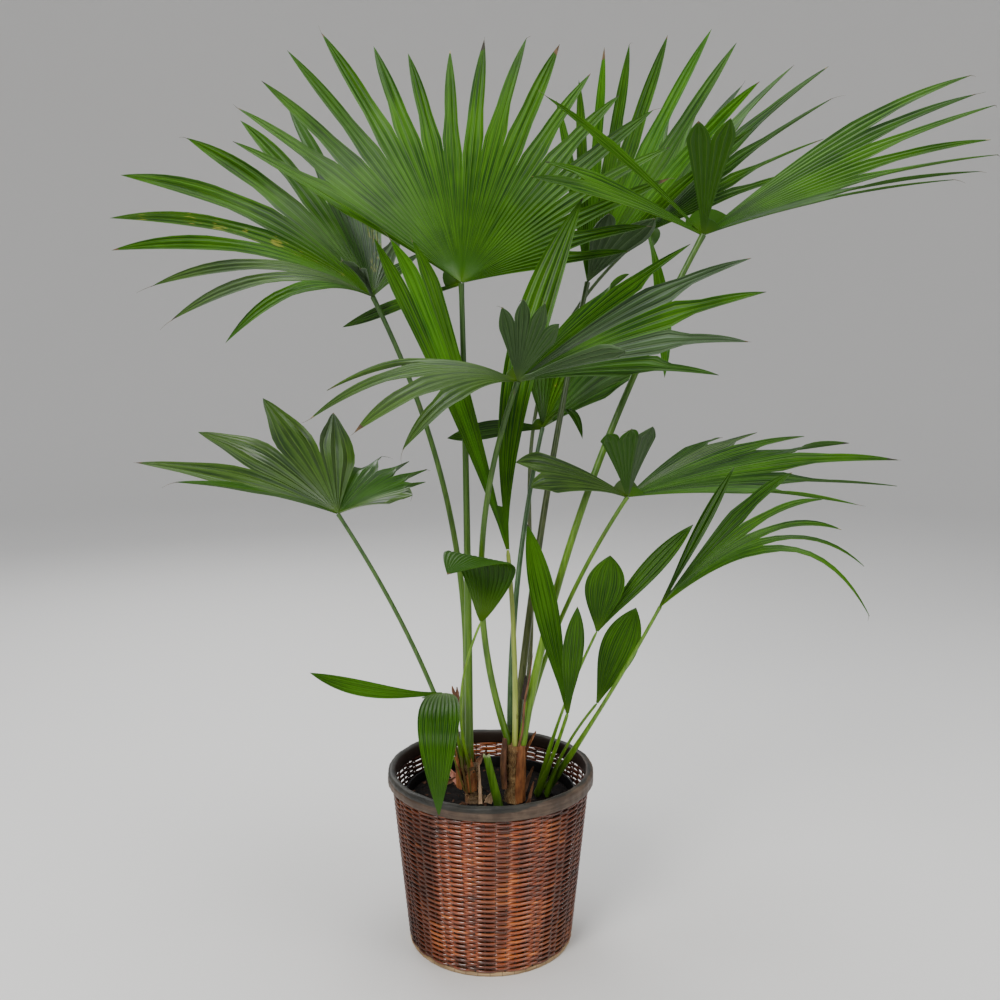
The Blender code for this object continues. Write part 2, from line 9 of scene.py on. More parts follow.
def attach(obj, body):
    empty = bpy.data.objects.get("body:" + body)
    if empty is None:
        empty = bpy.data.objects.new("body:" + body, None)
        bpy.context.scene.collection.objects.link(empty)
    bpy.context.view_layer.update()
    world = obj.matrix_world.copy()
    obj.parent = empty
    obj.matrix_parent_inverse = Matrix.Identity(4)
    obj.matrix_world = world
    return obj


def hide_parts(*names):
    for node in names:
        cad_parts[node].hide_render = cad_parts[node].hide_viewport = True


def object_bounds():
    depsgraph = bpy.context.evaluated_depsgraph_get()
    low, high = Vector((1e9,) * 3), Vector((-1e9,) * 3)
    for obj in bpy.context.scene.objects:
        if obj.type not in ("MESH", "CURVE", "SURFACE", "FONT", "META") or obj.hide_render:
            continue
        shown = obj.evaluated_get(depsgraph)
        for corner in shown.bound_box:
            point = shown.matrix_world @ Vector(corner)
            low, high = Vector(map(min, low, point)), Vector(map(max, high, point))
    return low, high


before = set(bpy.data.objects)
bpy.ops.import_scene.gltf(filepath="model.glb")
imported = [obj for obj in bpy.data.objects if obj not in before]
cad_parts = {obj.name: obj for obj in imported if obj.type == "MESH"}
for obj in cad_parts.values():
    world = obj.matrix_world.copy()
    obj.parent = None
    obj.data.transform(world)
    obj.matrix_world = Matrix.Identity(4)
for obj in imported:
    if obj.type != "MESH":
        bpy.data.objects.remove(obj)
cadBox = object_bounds()
print("frame loaded:", len(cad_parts), "nodes")


# node helpers

class Wire:
    # one socket that can be used in plain maths
    def __init__(self, tree, socket):
        self.tree = tree
        self.socket = socket

    def maths(self, operation, *others, flip=False):
        node = self.tree.nodes.new("ShaderNodeMath")
        node.operation = operation
        values = [self, *others]
        if flip:
            values.reverse()
        for slot, value in zip(node.inputs, values):
            if isinstance(value, Wire):
                self.tree.links.new(value.socket, slot)
            else:
                slot.default_value = value
        return Wire(self.tree, node.outputs[0])

    def __add__(self, other):
        return self.maths("ADD", other)

    def __sub__(self, other):
        return self.maths("SUBTRACT", other)

    def __mul__(self, other):
        return self.maths("MULTIPLY", other)

    def __truediv__(self, other):
        return self.maths("DIVIDE", other)

    def __mod__(self, other):
        return self.maths("FLOORED_MODULO", other)

    def __rsub__(self, other):
        return self.maths("SUBTRACT", other, flip=True)

    def __abs__(self):
        return self.maths("ABSOLUTE")


class Bench:
    # a node tree with one method that adds any node, and short names for the commonest ones
    def __init__(self, tree):
        self.tree = tree

    def node(self, kind, settings=None, values=None, out=0):
        node = self.tree.nodes.new(kind)
        for key, value in (settings or {}).items():
            setattr(node, key, value)
        for key, value in (values or {}).items():
            if isinstance(value, Wire):
                self.tree.links.new(value.socket, node.inputs[key])
            else:
                node.inputs[key].default_value = value
        return Wire(self.tree, node.outputs[out])

    def side(self, wire, out):
        # another output of the node that a wire comes from
        return Wire(self.tree, wire.socket.node.outputs[out])

    def vector(self, x=0.0, y=0.0, z=0.0):
        return self.node("ShaderNodeCombineXYZ", {}, {0: x, 1: y, 2: z})

    def axes(self, vector):
        x = self.node("ShaderNodeSeparateXYZ", {}, {0: vector})
        return x, self.side(x, 1), self.side(x, 2)

    def noise(self, vector, scale=1.0, detail=3.0, rough=0.5):
        return self.node("ShaderNodeTexNoise", {}, {"Vector": vector, "Scale": scale, "Detail": detail,
                                                   "Roughness": rough})

    def product(self, vector, factors):
        return self.node("ShaderNodeVectorMath", {"operation": "MULTIPLY"}, {0: vector, 1: factors})

    def streaks(self, vector, factors, detail=3.0, rough=0.5):
        # noise drawn out along the axes with the smaller factors
        return self.noise(self.product(vector, factors), 1.0, detail, rough)


class Finish(Bench):
    # procedural material round one Principled shader
    def __init__(self, name, roughness=0.5, **fixed):
        self.material = bpy.data.materials.new(name)
        self.material.use_nodes = True
        super().__init__(self.material.node_tree)
        self.shader = self.tree.nodes["Principled BSDF"]
        self.shader.inputs["Roughness"].default_value = roughness
        for label, value in fixed.items():
            self.shader.inputs[label.replace("_", " ")].default_value = value

    def feed(self, label, wire):
        self.tree.links.new(wire.socket, self.shader.inputs[label])

    def place(self):
        return self.node("ShaderNodeTexCoord", out="Object")

    def attribute(self, name):
        return self.node("ShaderNodeAttribute", {"attribute_name": name}, out="Fac")

    def blend(self, share, one, other):
        first, second = (value if isinstance(value, Wire) else (*value, 1.0) for value in (one, other))
        return self.node("ShaderNodeMix", {"data_type": "RGBA"}, {0: share, 6: first, 7: second}, out=2)

    def ease(self, wire, low, high, start=0.0, end=1.0):
        return self.node("ShaderNodeMapRange", {"interpolation_type": "SMOOTHSTEP"},
                         {0: wire, 1: low, 2: high, 3: start, 4: end})

    def ramp(self, wire, low, high, one, other):
        # one colour below the low value, the other above the high one
        return self.blend(self.ease(wire, low, high), one, other)

    def bump(self, height, strength, distance):
        self.feed("Normal", self.node("ShaderNodeBump", {}, {"Strength": strength, "Distance": distance,
                                                            "Height": height}))


class Growth(Bench):
    # Geometry Nodes tree with named sizes, run once on a host mesh
    def __init__(self, name, sizes):
        super().__init__(bpy.data.node_groups.new(name, "GeometryNodeTree"))
        face = self.tree.interface
        face.new_socket("Geometry", in_out="INPUT", socket_type="NodeSocketGeometry")
        self.sizes = dict(sizes)
        self.keys = {}
        for label, value in sizes.items():
            kind = "NodeSocketFloat"
            if isinstance(value, int):
                kind = "NodeSocketInt"
            if isinstance(value, bpy.types.Material):
                kind = "NodeSocketMaterial"
            self.keys[label] = face.new_socket(label, in_out="INPUT", socket_type=kind).identifier
        face.new_socket("Geometry", in_out="OUTPUT", socket_type="NodeSocketGeometry")
        self.source = self.tree.nodes.new("NodeGroupInput")
        self.sink = self.tree.nodes.new("NodeGroupOutput")

    def size(self, label):
        return Wire(self.tree, self.source.outputs[label])

    def host(self):
        return Wire(self.tree, self.source.outputs[0])

    def attribute(self, name):
        return self.node("GeometryNodeInputNamedAttribute", {"data_type": "FLOAT"}, {"Name": name})

    def circle(self, corners, radius=1.0):
        return self.node("GeometryNodeCurvePrimitiveCircle", {}, {"Resolution": corners, "Radius": radius})

    def tube(self, line, section, **sizes):
        values = {label.replace("_", " "): size for label, size in sizes.items()}
        return self.node("GeometryNodeCurveToMesh", {}, {"Curve": line, "Profile Curve": section, **values})

    def turned(self, axis, angle):
        return self.node("FunctionNodeAxisAngleToRotation", {}, {"Axis": axis, "Angle": angle})

    def spun(self, rotation, axis, angle):
        # a rotation and then a turn about its own axis
        return self.node("FunctionNodeRotateRotation", {"rotation_space": "LOCAL"},
                         {"Rotation": rotation, "Rotate By": self.turned(axis, angle)})

    def copies(self, points, shape, **values):
        return self.node("GeometryNodeInstanceOnPoints", {}, {"Points": points, "Instance": shape, **values})

    def chance(self, low, high, seed):
        kind = "FunctionNodeRandomValue"
        if isinstance(low, tuple):
            return self.node(kind, {"data_type": "FLOAT_VECTOR"}, {0: low, 1: high, "Seed": seed})
        return self.node(kind, {"data_type": "FLOAT"}, {2: low, 3: high, "Seed": seed}, out=1)

    def scatter(self, mesh, density, seed):
        return self.node("GeometryNodeDistributePointsOnFaces", {"distribute_method": "RANDOM"},
                         {"Mesh": mesh, "Density": density, "Seed": seed})

    def join(self, *wires):
        node = self.tree.nodes.new("GeometryNodeJoinGeometry")
        for wire in wires:
            self.tree.links.new(wire.socket, node.inputs[0])
        return Wire(self.tree, node.outputs[0])

    def painted(self, geometry, material):
        real = self.node("GeometryNodeRealizeInstances", {}, {0: geometry})
        return self.node("GeometryNodeSetMaterial", {}, {"Geometry": real, "Material": material})

    def end(self, geometry):
        self.tree.links.new(geometry.socket, self.sink.inputs[0])

    def run(self, name, hostMesh, **changes):
        host = bpy.data.objects.new(name + "Host", hostMesh)
        bpy.context.scene.collection.objects.link(host)
        modifier = host.modifiers.new("grow", "NODES")
        modifier.node_group = self.tree
        for label, value in {**self.sizes, **changes}.items():
            modifier[self.keys[label]] = value
        graph = bpy.context.evaluated_depsgraph_get()
        mesh = bpy.data.meshes.new_from_object(host.evaluated_get(graph))
        host.modifiers.remove(modifier)
        bpy.data.objects.remove(host, do_unlink=True)
        return addPiece(name, mesh)


def addPiece(name, mesh, *materials):
    mesh.name = name
    piece = bpy.data.objects.new(name, mesh)
    for material in materials:
        mesh.materials.append(material)
    bpy.context.scene.collection.objects.link(piece)
    return piece


def settle(piece, slot, *nodes):
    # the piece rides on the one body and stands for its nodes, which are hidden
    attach(piece, "root")
    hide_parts(*nodes)


def softFaces(mesh, angle):
    mesh.polygons.foreach_set("use_smooth", [True] * len(mesh.polygons))
    mesh.set_sharp_from_angle(angle=math.radians(angle))


def makeMesh(name, points, faces=(), edges=()):
    mesh = bpy.data.meshes.new(name)
    mesh.from_pydata([tuple(point) for point in points], edges, faces)
    return mesh


def lineMesh(name, points, radii):
    # open line with its radius on each point
    mesh = makeMesh(name, points, edges=[(step, step + 1) for step in range(len(points) - 1)])
    addColumn(mesh, "thick", radii)
    return mesh


def addColumn(mesh, label, values):
    # a number on each point, for a material or a tree to read
    mesh.attributes.new(label, "FLOAT", "POINT").data.foreach_set("value", list(values))


def between(ends, share):
    return ends[0] + (ends[1] - ends[0]) * share


# camera, floor and light

studio = {
    "eye": (0.0145, -1.573, 0.917), "downTilt": 8.1, "lens": 38.05, "sensor": 36.0,
    "floorFlat": 5.0, "floorBend": 3.0, "wallTop": 6.0, "floorTurns": 96, "floorDrop": 0.0004,
    "flatRings": (0.25, 0.5, 0.75, 1.0), "bendFrom": 0.06, "bendRings": 24,
    "floorColour": (0.80, 0.79, 0.77), "floorCloud": (0.75, 0.74, 0.72),
    "skyColour": (0.93, 0.95, 1.0), "skyStrength": 0.50,
    "lamps": [("keyLamp", (-1.5, -2.5, 2.5), 1.5, 92, (1.0, 0.98, 0.95)),
              ("sideLamp", (2.2, -1.5, 1.9), 1.6, 26, (1.0, 0.98, 0.95)),
              ("topLamp", (0.2, 0.3, 3.3), 2.2, 62, (0.96, 0.98, 1.0)),
              ("backLamp", (-1.2, 2.4, 2.2), 1.8, 26, (1.0, 1.0, 1.0))],
    "aim": (0.0, 0.0, 0.75),
}

view = bpy.data.cameras.new("photoView")
view.lens = studio["lens"]
view.sensor_width = studio["sensor"]
camera = bpy.data.objects.new("photoView", view)
camera.location = studio["eye"]
camera.rotation_euler = (math.radians(90.0 - studio["downTilt"]), 0.0, 0.0)
bpy.context.scene.collection.objects.link(camera)
bpy.context.scene.camera = camera

for lampName, spot, breadth, watts, tint in studio["lamps"]:
    lamp = bpy.data.lights.new(lampName, "AREA")
    lamp.shape = "DISK"
    lamp.size = breadth
    lamp.energy = watts
    lamp.color = tint
    stand = bpy.data.objects.new(lampName, lamp)
    stand.location = spot
    stand.rotation_euler = (Vector(studio["aim"]) - Vector(spot)).to_track_quat("-Z", "Y").to_euler()
    bpy.context.scene.collection.objects.link(stand)

sky = bpy.context.scene.world or bpy.data.worlds.new("paleSky")
bpy.context.scene.world = sky
sky.use_nodes = True
sky.node_tree.nodes["Background"].inputs["Color"].default_value = (*studio["skyColour"], 1.0)
sky.node_tree.nodes["Background"].inputs["Strength"].default_value = studio["skyStrength"]


def makeFloorFinish():
    finish = Finish("paleFloor", 0.75)
    cloud = finish.noise(finish.place(), 1.3, 4.0)
    finish.feed("Base Color", finish.blend(cloud * 0.25, studio["floorColour"], studio["floorCloud"]))
    return finish.material


def floorMesh():
    # a round dish: flat in the middle, with a wide bend up at its edge
    flat, bend, turns = studio["floorFlat"], studio["floorBend"], studio["floorTurns"]
    profile = [(flat * share, 0.0) for share in studio["flatRings"]]
    for turn in np.linspace(studio["bendFrom"], math.pi / 2, studio["bendRings"]):
        profile.append((flat + bend * math.sin(turn), bend * (1.0 - math.cos(turn))))
    profile.append((profile[-1][0], studio["wallTop"]))
    points, faces = [], []
    for row, (radius, height) in enumerate(profile):
        for turn in range(turns):
            angle, after = math.tau * turn / turns, (turn + 1) % turns
            points.append((radius * math.cos(angle), radius * math.sin(angle), height - studio["floorDrop"]))
            if row:
                low, high = (row - 1) * turns, row * turns
                faces.append((low + turn, high + turn, high + after, low + after))
    faces += [(turn, (turn + 1) % turns, len(points)) for turn in range(turns)]
    points.append((0.0, 0.0, -studio["floorDrop"]))
    mesh = makeMesh("floor", points, faces)
    mesh.polygons.foreach_set("use_smooth", [True] * len(mesh.polygons))
    return mesh


floor = addPiece("floor", floorMesh(), makeFloorFinish())
print("camera, lamps and floor ready")


# leaf finishes

# each tone: deep and light green, pale rib and underside; the worn one has pale spots too
leafTones = {
    "fresh": {"deep": (0.014, 0.076, 0.0008), "light": (0.056, 0.180, 0.0020), "rib": (0.125, 0.27, 0.010),
              "under": (0.034, 0.120, 0.005)},
    "mid": {"deep": (0.0065, 0.036, 0.0006), "light": (0.042, 0.132, 0.0016), "rib": (0.105, 0.22, 0.009),
            "under": (0.030, 0.100, 0.004)},
    "deep": {"deep": (0.0038, 0.023, 0.0006), "light": (0.026, 0.088, 0.0014), "rib": (0.066, 0.150, 0.008),
             "under": (0.020, 0.070, 0.004)},
    # the grey tone is painted sheen: grey-green colour given to segments seen at a grazing angle, in place of
    # the reflection off their waxy face
    "grey": {"deep": (0.0085, 0.025, 0.0055), "light": (0.038, 0.084, 0.022), "rib": (0.100, 0.165, 0.052),
             "under": (0.017, 0.048, 0.008)},
    "dull": {"deep": (0.0080, 0.031, 0.0018), "light": (0.044, 0.104, 0.006), "rib": (0.100, 0.190, 0.020),
             "under": (0.026, 0.076, 0.005)},
    "worn": {"deep": (0.0075, 0.038, 0.0006), "light": (0.046, 0.130, 0.0018), "rib": (0.105, 0.21, 0.009),
             "under": (0.030, 0.096, 0.004)},
}
leafSheen = {"roughness": 0.34, "roughSpread": 0.24, "underRough": 0.14, "gloss": 0.14, "greyGloss": 2.2,
             "veins": 4.0, "bump": 0.45, "relief": 0.0004, "streak": 0.9, "cloud": 0.6, "foldShadeDepth": 0.17,
             "rib": 0.62, "valley": 0.25, "hub": 0.26, "hubReach": 0.030, "hubColour": (0.110, 0.20, 0.008),
             "spotColour": (0.26, 0.25, 0.030)}


def makeLeafFinish(toneName, under=False):
    tone = leafTones[toneName]
    gloss = leafSheen["gloss"] * (leafSheen["greyGloss"] if toneName in ("grey", "dull") else 1.0)
    rough = leafSheen["roughness"] + (leafSheen["underRough"] if under else 0.0)
    name = ("under_" if under else "leaf_") + toneName
    finish = Finish(name, leafSheen["roughness"], Specular_IOR_Level=gloss)
    wide = finish.ease(finish.attribute("breadth"), 0.25, 1.0)
    line = finish.node("ShaderNodeUVMap", {"uv_map": "blade"})
    across, along, _ = finish.axes(line)
    fold = abs(across % 2.0 - 1.0)  # 1 on a ridge, 0 in a valley
    streaks = finish.streaks(line, (1.7, 7.0, 1.0), 3.0, 0.65)
    clouds = finish.noise(finish.place(), 9.0)
    # painted shade: each pleat's ridge is painted lighter and its valley darker, the shading of the folds
    foldShade = (fold - 0.5) * leafSheen["foldShadeDepth"]
    uneven = (streaks - 0.5) * leafSheen["streak"] + (clouds - 0.5) * leafSheen["cloud"] + foldShade
    tune = uneven * wide + 0.5
    if under:
        base = finish.ramp(tune, 0.3, 0.7, tone["under"], tone["light"])
    else:
        base = finish.ramp(tune, 0.32, 0.68, tone["deep"], tone["light"])
    ribs = finish.ease(fold, 0.0, 0.16, leafSheen["rib"], 0.0)
    valleys = finish.ease(fold, 0.90, 1.0, 0.0, leafSheen["valley"])
    base = finish.blend((ribs + valleys) * wide, base, tone["rib"])
    nearHub = finish.ease(along, 0.0, leafSheen["hubReach"], leafSheen["hub"], 0.0)
    base = finish.blend(nearHub, base, leafSheen["hubColour"])
    if toneName == "worn":
        specks = finish.streaks(line, (1.8, 46.0, 1.0), 2.0)
        patch = finish.noise(finish.place(), 34.0, 2.0)
        mark = finish.ease(specks * patch, 0.335, 0.39, 0.0, 0.7)
        base = finish.blend(mark, base, leafSheen["spotColour"])
    finish.feed("Base Color", base)
    spread = leafSheen["roughSpread"]
    finish.feed("Roughness", streaks * spread + (rough - spread / 2))
    veins = (across * (math.tau * leafSheen["veins"] / 2)).maths("SINE")
    finish.bump((veins * 0.5 + streaks) * wide, leafSheen["bump"], leafSheen["relief"])
    return finish.material


def makeDryFinish(name, dark, light, roughness=0.8):
    finish = Finish(name, roughness)
    grain = finish.noise(finish.product(finish.place(), (60.0, 60.0, 18.0)), 3.0, 4.0, 0.6)
    finish.feed("Base Color", finish.ramp(grain, 0.3, 0.7, dark, light))
    finish.bump(grain, 0.4, 0.0006)
    return finish.material


toneNames = list(leafTones)
leafFinishes = []
for toneName in toneNames:
    leafFinishes.append(makeLeafFinish(toneName))
    leafFinishes.append(makeLeafFinish(toneName, under=True))
leafFinishes.append(makeDryFinish("tip_brown", (0.050, 0.028, 0.010), (0.16, 0.095, 0.035)))
leafFinishes.append(makeDryFinish("tip_black", (0.010, 0.009, 0.006), (0.040, 0.032, 0.018)))
leafFinishes.append(makeDryFinish("tip_straw", (0.20, 0.15, 0.06), (0.42, 0.34, 0.17)))
tipBrown, tipBlack, tipStraw = (len(leafFinishes) - 3 + place for place in range(3))


# the plant's own sizes; the pot, the clumps, the stalks' lines and the lobes are the same as in the part

pot = {"top": 0.238, "topRadius": 0.133, "footRadius": 0.108, "wall": 0.0025,
       "soilTop": 0.222, "soilCrown": 0.005}
gap = 0.0003
trunks = {
    "left": {"foot": (-0.024, -0.018), "top": (-0.037, -0.020), "height": 0.058, "footRadius": 0.0165,
             "waistRadius": 0.0125, "topRadius": 0.0175},
    "main": {"foot": (0.036, -0.020), "top": (0.0385, -0.018), "height": 0.092, "footRadius": 0.0175,
             "waistRadius": 0.0135, "topRadius": 0.0185},
}
blade = {"folds": 3, "ovalFolds": 2, "pleat": 0.46, "wideFold": 0.0032, "thin": 0.0004, "hubThick": 0.0005,
         "hubThickReach": 0.35, "fusedRows": 13, "freeRows": 11, "ovalRows": 24, "step": 0.02,
         "rowPower": 1.2, "ovalRowPower": 1.45, "freeRowPower": 1.4, "splitSway": 0.045,
         "ovalStart": 0.0012, "ovalBase": 1.25, "ovalPower": 1.8,
         "webTurn": math.radians(14), "webRows": 4, "webBreadth": 0.3,
         "taperPower": 2.4, "shortTaper": 1.7, "shortFrom": 0.95, "waist": 0.32, "slimSway": (0.88, 1.08),
         "tipThin": 0.15, "keel": 0.22, "freeEase": 0.35, "tipStretch": (0.90, 1.04), "tipSway": 0.018,
         "tipDrop": (-0.006, 0.026), "twist": 16.0, "twistReach": 1.6, "dryFrom": (0.88, 1.12),
         "seatReach": 0.05, "seatWidth": 1.8, "seatSpread": 0.9, "hubHole": 0.55, "softAngle": 34}

